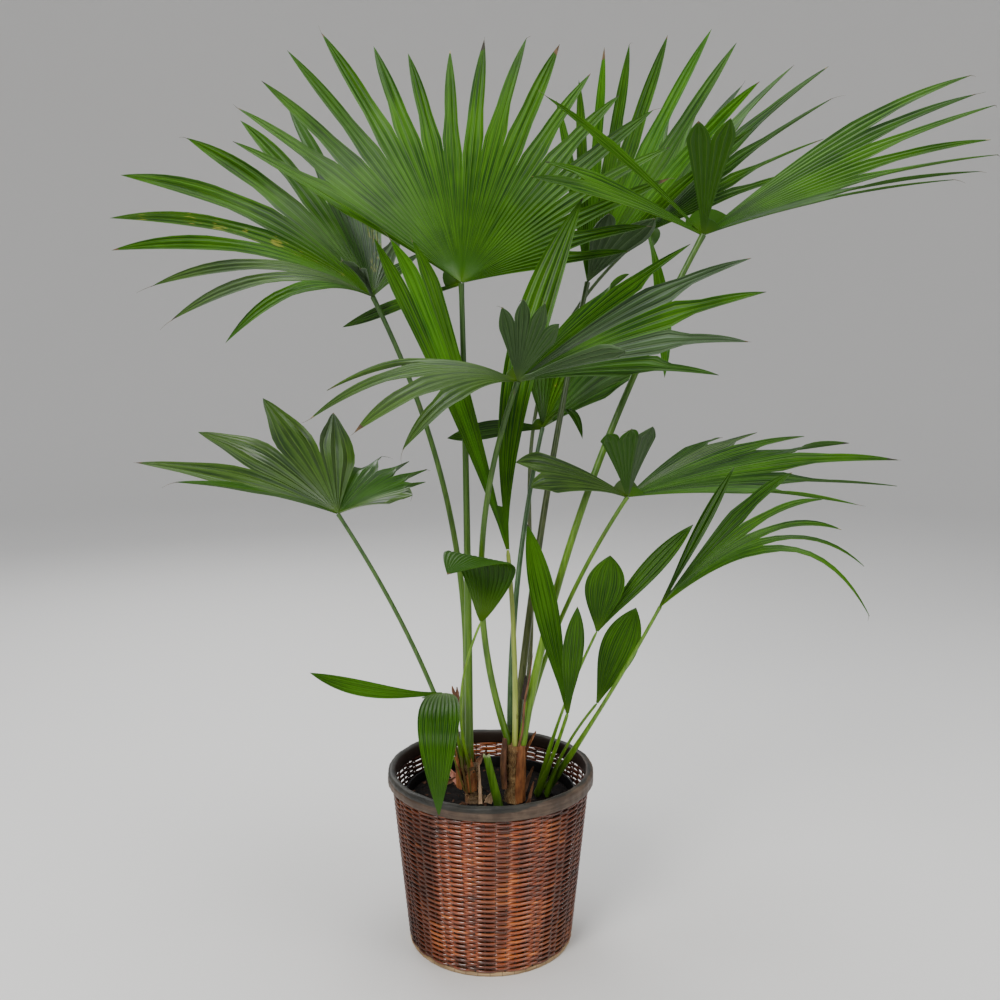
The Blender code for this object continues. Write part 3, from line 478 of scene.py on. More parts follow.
# hub, clump and foot of the stalk, its bow and radii, and the lobes of the blade: number of segments, share
# of the length that is fused, arch, guide ribs from the hub and where the bend sits; then for each lobe its
# tones, how slim its free parts are, how much deeper they are cut and how they roll; an oval one may have
# its own swell
leaves = {
    "top_left": {
        "hub": (-0.180, 0.070, 0.997), "clump": "left", "foot": (-0.0085, 0.009), "bow": (0.054, 0.010),
        "radii": (0.0050, 0.0032), "spines": True, "lobes": [
            (13, (0.34, 0.58), (0.26, 0.05), [
                (-0.13, -0.27, -0.08), (-0.28, -0.19, 0.00), (-0.39, -0.04, 0.13), (-0.28, 0.10, 0.28),
                (-0.14, 0.20, 0.31), (0.02, 0.22, 0.12), (0.07, 0.12, 0.06)]),
            (2, 0.70, 0.08, [(0.005, -0.12, 0.03), (-0.025, -0.24, 0.04)])],
        "tones": ["mid deep worn mid dull mid", "grey"], "slim": [(0.38, 0.72), (0.8, 0.8)],
        "cut": [(-0.04, -0.10), None], "roll": [(55, -8), (0, 0)]},
    "top_centre": {
        "hub": (-0.042, 0.000, 1.013), "clump": "left", "foot": (0.004, 0.002), "bow": (0.002, 0.010),
        "radii": (0.0062, 0.0034), "spines": True, "lobes": [
            (1, 1.0, 0.02, [(-0.20, 0.17, -0.06), (0.006, 0.0, 0.022)]),
            (18, (0.60, 0.56), 0.05, [
                (-0.30, 0.03, 0.16), (-0.36, 0.06, 0.23), (-0.31, 0.12, 0.33), (-0.22, 0.17, 0.40),
                (-0.02, 0.20, 0.38), (0.10, 0.20, 0.41), (0.19, 0.18, 0.36), (0.33, 0.14, 0.22),
                (0.23, 0.05, 0.03)])],
        "tones": ["mid", "mid"], "slim": [None, (0.60, 0.68)], "cut": [None, (-0.10, -0.08)]},
    "back_right": {
        "hub": (0.155, 0.160, 1.024), "clump": "main", "foot": (0.0, 0.0), "bow": (-0.012, -0.012),
        "radii": (0.0058, 0.0036), "reach": 0.0012, "lobes": [
            (9, 0.50, 0.05, [
                (-0.06, 0.06, 0.28), (0.05, 0.13, 0.40), (0.25, 0.16, 0.43), (0.31, 0.13, 0.38),
                (0.25, 0.06, 0.21)]),
            (2, 0.62, 0.08, [(0.13, -0.06, 0.08), (0.00, -0.07, 0.09)])],
        "tones": ["fresh mid fresh mid", "grey deep"], "slim": [(0.72, 0.62), None],
        "cut": [(-0.08, -0.08), None]},
    "rear": {
        "hub": (0.272, 0.320, 1.120), "clump": "main", "foot": (0.004, 0.0115), "bow": (-0.110, 0.030),
        "late": True, "radii": (0.0032, 0.0026), "lobes": [
            (8, (0.52, 0.40), 0.05, [
                (0.03, 0.19, 0.25), (0.24, 0.16, 0.31), (0.34, 0.10, 0.33), (0.33, 0.02, 0.24),
                (0.23, -0.06, 0.07)]),
            (1, 1.0, 0.55, [(0.02, -0.10, -0.25), (-0.026, -0.006, 0.0)])],
        "tones": ["mid deep", "fresh"], "slim": [(0.6, 0.5), None], "roll": [(0, 25), None]},
    "top_right": {
        "hub": (0.313, 0.020, 1.084), "clump": "main", "foot": (0.0105, -0.009), "bow": (-0.036, -0.006),
        "radii": (0.0061, 0.0038), "lobes": [
            (2, 0.72, 0.06, [(-0.27, -0.10, 0.06), (-0.22, -0.02, 0.11)]),
            (1, 0.60, 0.06, [(-0.26, 0.00, 0.20), (-0.21, 0.02, 0.20)]),
            (7, (0.62, 0.45), 0.06, [
                (0.41, 0.12, 0.28), (0.44, 0.04, 0.20), (0.41, -0.04, 0.11), (0.31, -0.10, 0.06)]),
            (2, 0.82, 0.05, [(0.02, -0.15, 0.13), (-0.06, -0.15, 0.13)])],
        "tones": ["mid", "mid", "mid deep mid", "deep"],
        "slim": [(0.7, 0.7), (0.7, 0.7), (0.75, 0.5), None],
        "cut": [None, None, (-0.08, -0.06), None], "roll": [None, None, (-5, 30), None]},
    "inner": {
        "hub": (0.083, 0.130, 0.792), "clump": "main", "foot": (-0.008, 0.009), "bow": (-0.014, 0.0),
        "radii": (0.0050, 0.0029), "spines": True, "lobes": [
            (2, 1.0, 0.08, [(-0.15, -0.08, -0.01), (0.010, 0.0, 0.030)]),
            (5, (0.85, 0.60), 0.08, [
                (-0.03, 0.01, 0.09), (0.02, 0.06, 0.13), (0.09, 0.12, 0.15), (0.17, 0.10, 0.13),
                (0.16, 0.04, 0.06)]),
            (1, 1.0, 1.10, [(0.062, -0.034, -0.015), (-0.016, 0.0, 0.0)])],
        "tones": ["deep", "mid deep worn", "deep"], "slim": [None, (0.9, 0.9), None]},
    "front": {
        "hub": (0.039, -0.090, 0.873), "clump": "main", "foot": (-0.0115, -0.005), "bow": (-0.046, 0.0),
        "radii": (0.0050, 0.0032), "spines": True, "lobes": [
            (4, 0.45, 0.26, [(-0.12, -0.16, -0.08), (-0.28, -0.11, -0.03), (-0.22, -0.04, 0.00)]),
            (6, (0.60, 0.55), 0.08, [
                (0.12, 0.05, 0.130), (0.235, 0.03, 0.190), (0.33, 0.00, 0.170), (0.31, -0.06, 0.055),
                (0.24, -0.075, -0.005)]),
            (1, 0.80, 0.05, [(0.155, -0.11, 0.035), (0.12, -0.12, 0.055)]),
            (4, 0.66, 0.05, [(0.062, -0.085, 0.066), (0.020, -0.09, 0.114), (-0.035, -0.09, 0.093)])],
        "tones": ["deep dull", "mid dull deep grey", "grey", "grey deep"],
        "slim": [(0.5, 0.6), (0.6, 0.45), (0.8, 0.8), (1.15, 1.15)], "roll": [(20, 10), (0, 25), None, None]},
    "half_open": {
        "hub": (0.026, -0.040, 0.624), "clump": "main", "foot": (-0.001, -0.0125), "bow": (0.004, 0.0),
        "radii": (0.0042, 0.0028), "reach": 0.0027, "narrow": True, "pale": True, "lobes": [
            (3, (0.80, 0.86), 0.08, [(-0.205, 0.005, 0.450), (-0.118, 0.01, 0.458)]),
            (2, 1.0, 0.70, [(0.108, 0.03, 0.51), (0.050, 0.0, -0.006)])],
        "tones": ["fresh mid", "mid"], "swell": [None, (1.25, 1.8)]},
    "right": {
        "hub": (0.206, 0.000, 0.698), "clump": "main", "foot": (0.0125, 0.007), "bow": (-0.020, 0.006),
        "radii": (0.0036, 0.0028), "lobes": [
            (2, 0.78, 0.10, [(-0.14, -0.12, 0.015), (-0.175, -0.085, 0.085)]),
            (7, (0.70, 0.50), 0.08, [
                (0.14, 0.13, 0.08), (0.34, 0.06, 0.08), (0.40, 0.01, 0.07), (0.37, -0.07, 0.02),
                (0.30, -0.13, 0.00)]),
            (3, 0.80, 0.05, [(0.030, -0.13, 0.115), (-0.060, -0.13, 0.105)])],
        "tones": ["deep dull", "dull mid deep mid", "deep grey"],
        "slim": [None, (0.6, 0.4), (1.15, 1.15)], "roll": [None, (0, 30), None]},
    "left": {
        "hub": (-0.222, -0.050, 0.680), "clump": "left", "foot": (-0.0115, -0.004), "bow": (0.016, 0.0),
        "radii": (0.0036, 0.0026), "lobes": [
            (10, (0.45, 0.84), 0.08, [
                (-0.14, -0.15, 0.06), (-0.27, -0.07, 0.07), (-0.25, 0.05, 0.11), (-0.08, 0.20, 0.16),
                (0.04, 0.17, 0.07), (0.13, -0.03, 0.05), (0.10, -0.13, 0.03)])],
        "tones": ["dull deep"], "slim": [(0.38, 0.62)], "cut": [(-0.18, -0.03)], "roll": [(25, 0)],
        "waist": 0.75},
    "drooping": {
        "hub": (0.240, -0.120, 0.558), "clump": "soil", "foot": (0.089, 0.009), "bow": (0.004, -0.004),
        "radii": (0.0034, 0.0022), "reach": 0.0020, "lobes": [
            (1, 1.0, 0.03, [(0.105, 0.03, 0.195), (0.014, 0.0, -0.010)]),
            (5, (0.80, 0.56), (0.04, 0.62), [
                (0.160, 0.05, 0.200), (0.215, 0.01, 0.160), (0.255, -0.08, 0.080),
                (0.240, -0.15, 0.010)], 0.72)],
        "tones": ["deep", "mid deep mid"], "slim": [None, (0.62, 0.5)], "cut": [None, (-0.36, -0.20)],
        "roll": [None, (0, 20)]},
    "folded": {
        "hub": (-0.013, -0.080, 0.526), "clump": "left", "foot": (0.004, -0.0115), "bow": (-0.020, -0.004),
        "radii": (0.0024, 0.0016), "lobes": [
            (6, 1.0, 1.60, [(-0.045, -0.07, 0.085), (0.094, -0.036, -0.012)])],
        "tones": ["deep dull"], "swell": [(0.80, 2.2)]},
    "spear_pair": {
        "hub": (0.114, -0.075, 0.386), "clump": "soil", "foot": (0.073, -0.007), "bow": (0.002, 0.0),
        "radii": (0.0032, 0.0024), "reach": 0.0001, "lobes": [
            (3, 1.0, 0.04, [(-0.060, 0.02, 0.28), (0.036, 0.0, 0.010)]),
            (3, 1.0, 0.05, [(0.006, -0.095, 0.185), (0.030, 0.0, 0.002)])],
        "tones": ["mid fresh", "mid"]},
    "oval": {
        "hub": (0.157, -0.060, 0.506), "clump": "soil", "foot": (0.076, 0.009), "bow": (-0.008, 0.0),
        "radii": (0.0026, 0.0018), "lobes": [
            (4, 1.0, 0.05, [(0.015, -0.03, 0.12), (0.058, 0.012, -0.006)]),
            (2, 1.0, 0.05, [(0.138, 0.00, 0.160), (0.022, 0.0, -0.019)])],
        "tones": ["mid deep mid", "mid"]},
    "broad": {
        "hub": (0.160, -0.045, 0.391), "clump": "soil", "foot": (0.088, -0.008), "bow": (-0.010, 0.0),
        "radii": (0.0026, 0.0018), "lobes": [
            (4, 1.0, 0.05, [(0.055, -0.01, 0.15), (0.052, 0.0, -0.020)])],
        "tones": ["fresh mid"]},
    "over_rim": {
        "hub": (-0.070, -0.070, 0.415), "clump": "left", "foot": (-0.006, -0.013), "bow": (0.004, 0.0),
        "radii": (0.0026, 0.0020), "reach": -0.0006, "lobes": [
            (5, 1.0, 1.50, [(0.00, -0.115, -0.139), (-0.058, 0.0, 0.0)]),
            (2, 1.0, -0.12, [(-0.19, -0.03, 0.041), (0.006, 0.010, 0.020)])],
        "tones": ["mid", "mid"], "swell": [(0.50, 1.25), None]},
}


# fronds

def smoothRow(places, points, share):
    index = int(np.clip(np.searchsorted(places, share) - 1, 0, len(places) - 2))
    slopes = []
    for knot in (index, index + 1):
        before, after = max(knot - 1, 0), min(knot + 1, len(places) - 1)
        slopes.append((points[after] - points[before]) / (places[after] - places[before]))
    step = places[index + 1] - places[index]
    along = (share - places[index]) / step
    square, cube = along ** 2, along ** 3
    return ((2 * cube - 3 * square + 1) * points[index] + (cube - 2 * square + along) * step * slopes[0]
            + (3 * square - 2 * cube) * points[index + 1] + (cube - square) * step * slopes[1])


def softStep(share):
    share = min(max(share, 0.0), 1.0)
    return share * share * (3.0 - 2.0 * share)


class Lobe:
    # neighbouring segments, fused along part of their length
    def __init__(self, hub, chance, count, fused, arch, guides, lean=0.5):
        self.hub = np.array(hub)
        self.count = count
        self.arch = arch if isinstance(arch, tuple) else (arch, arch)
        self.lean = lean
        self.oval = fused == 1.0
        self.folds = blade["ovalFolds"] if self.oval else blade["folds"]
        ends = fused if isinstance(fused, tuple) else (fused, fused)
        sway = blade["splitSway"]
        self.splits = [split + chance.uniform(-sway, sway) for split in np.linspace(*ends, count + 1)]
        ranges = blade["tipStretch"], (-blade["tipSway"], blade["tipSway"]), blade["tipDrop"]
        self.bends = [[chance.uniform(*limits) for limits in ranges] for _ in range(count)]
        self.tips = {}
        guides = [np.array(guide) for guide in guides]
        if self.oval:
            self.centreTip, self.width = guides
            self.length = np.linalg.norm(self.centreTip)
            self.spread, self.side = 0.0, self.width / np.linalg.norm(self.width)
            return
        lengths = [np.linalg.norm(guide) for guide in guides]
        self.length = max(lengths)
        ways = [guide / length for guide, length in zip(guides, lengths)]
        turns = [math.acos(min(1.0, a @ b)) for a, b in zip(ways, ways[1:])]
        places = np.concatenate([[0.0], np.cumsum(turns)])
        self.spread = places[-1]
        self.side = (ways[-1] - ways[0]) / np.linalg.norm(ways[-1] - ways[0])
        rows = [np.append(way, length) for way, length in zip(ways, lengths)]
        self.knots = (places / places[-1], np.array(rows))

    def tip(self, share):
        if self.oval:
            return self.centreTip
        if share not in self.tips:
            row = smoothRow(*self.knots, share)
            self.tips[share] = row[:3] / np.linalg.norm(row[:3]) * row[3]
        return self.tips[share]

    def point(self, share, along):
        tip = self.tip(share)
        square = tip @ tip
        lift = np.array([0.0, 0.0, 1.0]) - tip * tip[2] / square
        control = tip * self.lean + lift * between(self.arch, share) * math.sqrt(square)
        place = self.hub + 2 * along * (1 - along) * control + along ** 2 * tip
        if self.oval:
            base, power = self.swell
            widest = (base / (base + power)) ** (1.0 / power)
            peak = widest ** base * (1.0 - widest ** power)
            swell = along ** base * (1.0 - min(along, 1.0) ** power) / peak
            place = place + self.width * (share - 0.5) * swell
        if self.seat:
            fade = 1.0 - softStep(along * self.length / blade["seatReach"])
            place = place + self.side * (share - 0.5) * self.seat * fade
        return place

    def normal(self, share, along):
        step = blade["step"]
        inside = min(max(along, 2 * step), 1.0 - 2 * step)
        low, high = max(share - step, 0.0), min(share + step, 1.0)
        across = self.point(high, inside) - self.point(low, inside)
        outward = self.point(share, inside + step) - self.point(share, inside - step)
        cross = np.cross(across, outward)
        return cross / np.linalg.norm(cross)


class Frond:
    # closed thin shell of all the lobes of one leaf
    def __init__(self, leaf, seed):
        chance = random.Random(seed)
        self.lobes = [Lobe(leaf["hub"], chance, *lobe) for lobe in leaf["lobes"]]
        for index, lobe in enumerate(self.lobes):
            own = {label: leaf[label][index] for label in ("slim", "cut", "roll", "swell") if label in leaf}
            lobe.slim = own.get("slim") or (1.0, 1.0)
            lobe.roll = own.get("roll") or (0.0, 0.0)
            lobe.swell = own.get("swell") or (blade["ovalBase"], blade["ovalPower"])
            lobe.waist = leaf.get("waist", blade["waist"])
            narrow = max(0.0, 1.0 - lobe.spread / blade["seatSpread"])
            lobe.seat = blade["seatWidth"] * leaf["radii"][1] * narrow  # as wide as its stalk
            if own.get("cut"):  # splits that run deeper than in the plain solid
                lobe.splits = [split + between(own["cut"], place / lobe.count)
                               for place, split in enumerate(lobe.splits)]
        self.chance = random.Random(seed + 500)
        fan = any(not lobe.oval for lobe in self.lobes)
        self.inner = leaf["radii"][1] * blade["hubHole"] if fan else blade["ovalStart"]
        self.vertices = []
        self.threads = []
        self.uvs = []
        self.breadths = []
        self.faces = []
        self.tones = []

    def pair(self, point, normal, along, uv, width=0.0):
        half = blade["thin"] + blade["hubThick"] * max(0.0, 1.0 - along / blade["hubThickReach"])
        self.vertices += [point + normal * half, point - normal * half]
        self.uvs += [uv, uv]
        self.breadths += [min(1.0, width / blade["wideFold"])] * 2
        return len(self.vertices) - 2

    def strip(self, left, right, tone, dryFrom=math.inf, dry=None):
        for step, (a, b, c, d) in enumerate(zip(left, left[1:], right, right[1:])):
            upper = [a, c, d, b] if b != d else [a, c, d]
            self.faces += [upper, [corner + 1 for corner in upper[::-1]]]
            self.tones += [tone, tone + 1] if step < dryFrom else [dry, dry]

    def wall(self, column, outsideLeft, tone):
        for a, b in zip(column, column[1:]):
            face = [a, b, b + 1, a + 1]
            self.faces.append(face if outsideLeft else face[::-1])
            self.tones.append(tone)

    def column(self, lobe, place, count):
        places = 2 * lobe.folds * lobe.count
        share = place / places
        near = np.linalg.norm(lobe.point(share, blade["step"]) - lobe.hub) / blade["step"]
        split = 1.0 if lobe.oval else np.interp(share * lobe.count, range(lobe.count + 1), lobe.splits)
        start = self.inner / near
        steps = [(index / count) ** blade["rowPower"] for index in range(count + 1)]
        if lobe.oval:
            steps = [1.0 - (1.0 - step) ** blade["ovalRowPower"] for step in steps[:-1]]
        sign = 1 if place % 2 == 0 else -1
        pairs = []
        for step in steps:
            along = start + (split - start) * step
            low, high = max(share - 1 / places, 0.0), min(share + 1 / places, 1.0)
            across = np.linalg.norm(lobe.point(high, along) - lobe.point(low, along))
            across = across * 2 / places / (high - low)
            normal = lobe.normal(share, along)
            centre = lobe.point(share, along) + normal * sign * blade["pleat"] * across / 4
            pairs.append(self.pair(centre, normal, along, (place, along * lobe.length), across))
        return pairs, split

    def middle(self, lobe, index, along):
        # a point on a segment's midline, the way to its edge and the direction it faces
        share = (index + 0.5) / lobe.count
        centre = lobe.point(share, along)
        return centre, lobe.point(share + 0.5 / lobe.count, along) - centre, lobe.normal(share, along)

    def freePart(self, lobe, index, starts, ownSplits, tone):
        # a segment beyond its split: bends, twists and narrows to its point
        share = (index + 0.5) / lobe.count
        split = (lobe.splits[index] + lobe.splits[index + 1]) / 2
        stretch, sway, drop = lobe.bends[index]
        length = np.linalg.norm(lobe.tip(share))
        end = split + (1 - split) * stretch
        twist = math.radians(self.chance.uniform(-blade["twist"], blade["twist"]) + between(lobe.roll, share))
        slim = between(lobe.slim, share) * self.chance.uniform(*blade["slimSway"])
        power = blade["taperPower"] if slim < blade["shortFrom"] else blade["shortTaper"]
        rows = blade["freeRows"]
        columns = [[start] for start in starts]
        places = 2 * lobe.folds
        for row in range(1, rows):
            passed = 1.0 - (1.0 - row / rows) ** blade["freeRowPower"]
            narrow = (1.0 - passed ** power) * (1.0 - (1.0 - slim) * softStep(passed / lobe.waist))
            narrow *= 1.0 - blade["tipThin"] * passed ** 2
            roll = twist * softStep(passed * blade["twistReach"])
            for place, column in enumerate(columns):
                along = between((ownSplits[place], end), passed)
                centre, side, normal = self.middle(lobe, index, along)
                breadth = np.linalg.norm(side)
                bend = side / breadth * sway - np.array([0.0, 0.0, drop])
                way = side * math.cos(roll) + normal * breadth * math.sin(roll)
                facing = normal * math.cos(roll) - side / breadth * math.sin(roll)
                offset = place / lobe.folds - 1.0
                sign = 1 if place % 2 == 0 else -1
                fold = facing * blade["pleat"] * breadth * narrow / lobe.folds / 2 * sign
                keel = facing * breadth * narrow * blade["keel"] * (abs(offset) - 0.5) * softStep(passed * 2)
                free = centre + way * offset * narrow + fold + keel
                if passed < blade["freeEase"]:
                    rest = lobe.point((index + place / places) / lobe.count, along) + fold
                    free = rest + (free - rest) * softStep(passed / blade["freeEase"])
                free = free + bend * length * passed ** 2
                spot = (index * places + place, along * lobe.length)
                column.append(self.pair(free, facing, along, spot, 2 * breadth * narrow / lobe.folds))
        centre, side, normal = self.middle(lobe, index, end)
        roll = twist * softStep(blade["twistReach"])
        across = side / np.linalg.norm(side)
        facing = normal * math.cos(roll) - across * math.sin(roll)
        tipPoint = centre + (across * sway - np.array([0.0, 0.0, drop])) * length
        last = self.pair(tipPoint, facing, end, (index * places + lobe.folds, end * lobe.length))
        self.threads.append((tipPoint, tipPoint - self.vertices[columns[0][-1]]))
        dry = self.chance.choice((tipBrown, tipBrown, tipBlack, tipStraw))
        dryFrom = rows * self.chance.uniform(*blade["dryFrom"]) - 1.0
        for column in columns:
            column.append(last)
        for left, right in zip(columns, columns[1:]):
            self.strip(left, right, tone, dryFrom, dry)
        self.wall(columns[0], True, tone)
        self.wall(columns[-1], False, tone)

    def addLobe(self, lobe, palette):
        count = blade["ovalRows"] if lobe.oval else blade["fusedRows"]
        places = 2 * lobe.folds
        made = [self.column(lobe, place, count) for place in range(places * lobe.count + 1)]
        columns = [column for column, _ in made]
        tones = [2 * toneNames.index(self.chance.choice(palette.split())) for _ in range(lobe.count)]
        if lobe.oval:
            tones = [tones[0]] * lobe.count
            tip = self.pair(lobe.point(0.5, 1.0), lobe.normal(0.5, 1.0), 1.0, (places / 2, lobe.length))
            for column in columns:
                column.append(tip)
        dry = self.chance.choice((tipBrown, tipBlack))
        dryFrom = count - 1 if lobe.oval else math.inf
        for place, (left, right) in enumerate(zip(columns, columns[1:])):
            tone = tones[place // places]
            self.strip(left, right, tone, dryFrom, dry)
            self.faces.append([left[0], left[0] + 1, right[0] + 1, right[0]])
            self.tones.append(tone)
        if not lobe.oval:
            for index in range(lobe.count):
                group = made[places * index:places * (index + 1) + 1]
                self.freePart(lobe, index, [column[-1] for column, _ in group], [split for _, split in group],
                              tones[index])
        return columns, tones

    def web(self, last, first, tone):
        # columns that turn about the hub from one lobe's edge to the next one's
        hub = self.lobes[0].hub
        rows = len(last)
        ends = [(self.vertices[a + side] - hub, self.vertices[b + side] - hub)
                for a, b in zip(last, first) for side in (0, 1)]
        middles = [(ends[-2][pick] + ends[-1][pick]) / 2 for pick in (0, 1)]
        cosine = middles[0] @ middles[1] / np.linalg.norm(middles[0]) / np.linalg.norm(middles[1])
        steps = int(math.acos(max(-1.0, min(1.0, cosine))) / blade["webTurn"])
        columns = [last]
        for step in range(1, steps + 1):
            share = step / (steps + 1)
            column = []
            for row in range(rows):
                for start, end in ends[2 * row:2 * row + 2]:
                    lengths = np.linalg.norm(start), np.linalg.norm(end)
                    mix = start / lengths[0] * (1 - share) + end / lengths[1] * share
                    reach = lengths[0] * (1 - share) + lengths[1] * share
                    self.vertices.append(hub + mix / np.linalg.norm(mix) * reach)
                    self.uvs.append((step + 0.5, reach))
                    self.breadths.append(blade["webBreadth"])
                column.append(len(self.vertices) - 2)
            columns.append(column)
        columns.append(first)
        for left, right in zip(columns, columns[1:]):
            self.strip(left, right, tone)
            self.faces.append([left[0], left[0] + 1, right[0] + 1, right[0]])
            self.faces.append([left[-1], right[-1], right[-1] + 1, left[-1] + 1])
            self.tones += [tone, tone]

    def build(self, name, palettes):
        groups = [self.addLobe(lobe, palette) for lobe, palette in zip(self.lobes, palettes)]
        for one, other in zip(groups, groups[1:]):
            last, first = one[0][-1], other[0][0]
            joined = blade["webRows"]
            self.web(last[:joined], first[:joined], one[1][-1])
            self.wall(last[joined - 1:], False, one[1][-1])
            self.wall(first[joined - 1:], True, other[1][0])
        self.wall(groups[0][0][0], True, groups[0][1][0])
        self.wall(groups[-1][0][-1], False, groups[-1][1][-1])
        mesh = makeMesh(name, self.vertices, self.faces)
        for material in leafFinishes:
            mesh.materials.append(material)
        mesh.polygons.foreach_set("material_index", self.tones)
        layer = mesh.uv_layers.new(name="blade")
        corners = np.empty(len(mesh.loops), dtype=np.int32)
        mesh.loops.foreach_get("vertex_index", corners)
        layer.data.foreach_set("uv", np.array(self.uvs, dtype=np.float32)[corners].ravel())
        addColumn(mesh, "breadth", self.breadths)
        softFaces(mesh, blade["softAngle"])
        return mesh


fronds = {}
for number, (leafName, leaf) in enumerate(leaves.items()):
    frond = Frond(leaf, number)
    mesh = frond.build("frond_" + leafName, leaf["tones"])
    settle(addPiece("leaf_" + leafName, mesh), "blade", "frond_" + leafName)
    fronds[leafName] = frond
print("fronds:", sum(len(frond.faces) for frond in fronds.values()), "faces")


# stalks

stalkLook = {"points": 40, "start": 0.006, "swell": 1.14, "foot": 0.75, "footReach": 0.50, "taper": 0.7,
             "sides": 10, "flareFrom": 0.97, "flare": 0.15, "close": -0.45, "softAngle": 40,
             "spineGap": 0.011, "spineLength": 0.0022, "spineFoot": 0.0007, "spineRise": 0.0006,
             "spineSway": 0.35, "spineFrom": 0.06, "spineTop": 0.62, "bareTop": 0.0601,
             "soilColour": (0.105, 0.060, 0.018), "freshFoot": (0.040, 0.090, 0.005),
             "speckColour": (0.07, 0.05, 0.014)}

# low and high colours, each dark and light
stalkTones = {
    "green": ((0.050, 0.130, 0.004), (0.105, 0.215, 0.010), (0.014, 0.050, 0.003), (0.036, 0.095, 0.007)),
    "bright": ((0.085, 0.20, 0.004), (0.170, 0.33, 0.014), (0.024, 0.075, 0.003), (0.060, 0.140, 0.008)),
    "fresh": ((0.060, 0.155, 0.004), (0.125, 0.260, 0.012), (0.024, 0.075, 0.003), (0.060, 0.140, 0.008)),
    "dark": ((0.030, 0.085, 0.010), (0.070, 0.150, 0.022), (0.013, 0.046, 0.006), (0.034, 0.088, 0.014)),
    "pale": ((0.21, 0.29, 0.035), (0.42, 0.47, 0.100), (0.050, 0.120, 0.008), (0.090, 0.180, 0.014)),
    "blue": ((0.040, 0.105, 0.030), (0.085, 0.175, 0.060), (0.016, 0.058, 0.012), (0.036, 0.095, 0.022)),
    "brown": ((0.045, 0.058, 0.012), (0.095, 0.110, 0.028), (0.018, 0.044, 0.005), (0.044, 0.080, 0.012)),
}


def makeStalkFinish(name, lowDark, lowLight, highDark, highLight):
    finish = Finish("stalk_" + name, 0.42)
    place = finish.place()
    height = finish.axes(place)[2]
    streaks = finish.streaks(place, (260.0, 260.0, 9.0))
    clouds = finish.noise(place, 14.0, 2.0)
    specks = finish.streaks(place, (90.0, 90.0, 45.0), 2.0)
    low = finish.ramp(streaks, 0.3, 0.7, lowDark, lowLight)
    high = finish.ramp(streaks, 0.3, 0.7, highDark, highLight)
    base = finish.ramp(height + clouds * 0.2, 0.50, 1.0, low, high)
    base = finish.blend(finish.ease(specks, 0.66, 0.72, 0.0, 0.5), base, stalkLook["speckColour"])
    foot = finish.ease(height + clouds * 0.05, 0.290, 0.350, 0.85, 0.0)
    footColour = stalkLook["freshFoot" if name == "fresh" else "soilColour"]
    finish.feed("Base Color", finish.blend(foot, base, footColour))
    finish.feed("Roughness", streaks * 0.2 + 0.3)
    finish.bump(streaks, 0.3, 0.0004)
    return finish.material


stalkFinishes = {toneName: makeStalkFinish(toneName, *tones) for toneName, tones in stalkTones.items()}
stalkSkins = {"left": "dark", "half_open": "pale", "inner": "blue", "back_right": "brown", "rear": "brown",
              "top_right": "bright", "right": "bright", "folded": "bright", "drooping": "fresh",
              "spear_pair": "fresh", "oval": "fresh", "broad": "fresh"}  # the others are green
spineFinish = makeDryFinish("spine_dark", (0.030, 0.022, 0.010), (0.09, 0.065, 0.03), 0.5)


def clumpSeat(clump, foot):
    bed = pot["soilTop"] + pot["soilCrown"] + gap
    if clump == "soil":
        return np.array([foot[0], foot[1], bed])
    top = trunks[clump]["top"]
    return np.array([top[0] + foot[0], top[1] + foot[1], bed + trunks[clump]["height"] + gap])


def stalkLine(leaf):
    foot = clumpSeat(leaf["clump"], leaf["foot"])
    start = foot + np.array([0.0, 0.0, stalkLook["start"]])
    hub = np.array(leaf["hub"])
    bow = np.array([*leaf["bow"], 0.0])
    power = 2 if leaf.get("late") else 1
    peak = power / (power + 1.0)
    scale = 1.0 / (peak ** power * (1.0 - peak))
    places, radii = [foot], [leaf["radii"][0]]
    narrow = all(lobe[1] == 1.0 for lobe in leaf["lobes"]) or leaf.get("narrow")
    flare = stalkLook["close"] if narrow else stalkLook["flare"]
    for share in np.linspace(0.0, 1.0, stalkLook["points"]):
        places.append(between((start, hub), share) + bow * scale * share ** power * (1 - share))
        radius = between(leaf["radii"], share ** stalkLook["taper"])
        if leaf["clump"] == "soil":
            radius *= 1.0 + stalkLook["foot"] * (1.0 - softStep(share / stalkLook["footReach"]))
        atTip = softStep((share - stalkLook["flareFrom"]) / (1.0 - stalkLook["flareFrom"]))
        radii.append(radius * stalkLook["swell"] * (1.0 + flare * atTip))
    return places, radii


# round tube along a line, and pairs of small spines on its lower part
stalkGrowth = Growth("stalkGrowth", {"Sides": stalkLook["sides"], "Spine gap": stalkLook["spineGap"],
                                     "Spine length": stalkLook["spineLength"], "Spine top": 0.0, "Seed": 5,
                                     "Skin": stalkFinishes["green"], "Spine skin": spineFinish})
line = stalkGrowth.node("GeometryNodeMeshToCurve", {}, {"Mesh": stalkGrowth.host()})
thick = stalkGrowth.attribute("thick")
line = stalkGrowth.node("GeometryNodeSetCurveRadius", {}, {"Curve": line, "Radius": thick})
tube = stalkGrowth.tube(line, stalkGrowth.circle(stalkGrowth.size("Sides")), Scale=thick, Fill_Caps=True)
tube = stalkGrowth.painted(tube, stalkGrowth.size("Skin"))
lower = stalkGrowth.node("GeometryNodeTrimCurve", {"mode": "FACTOR"}, {
    "Curve": line, "Start": stalkLook["spineFrom"], "End": stalkGrowth.size("Spine top")})
dots = stalkGrowth.node("GeometryNodeCurveToPoints", {"mode": "LENGTH"},
                        {"Curve": lower, "Length": stalkGrowth.size("Spine gap")})
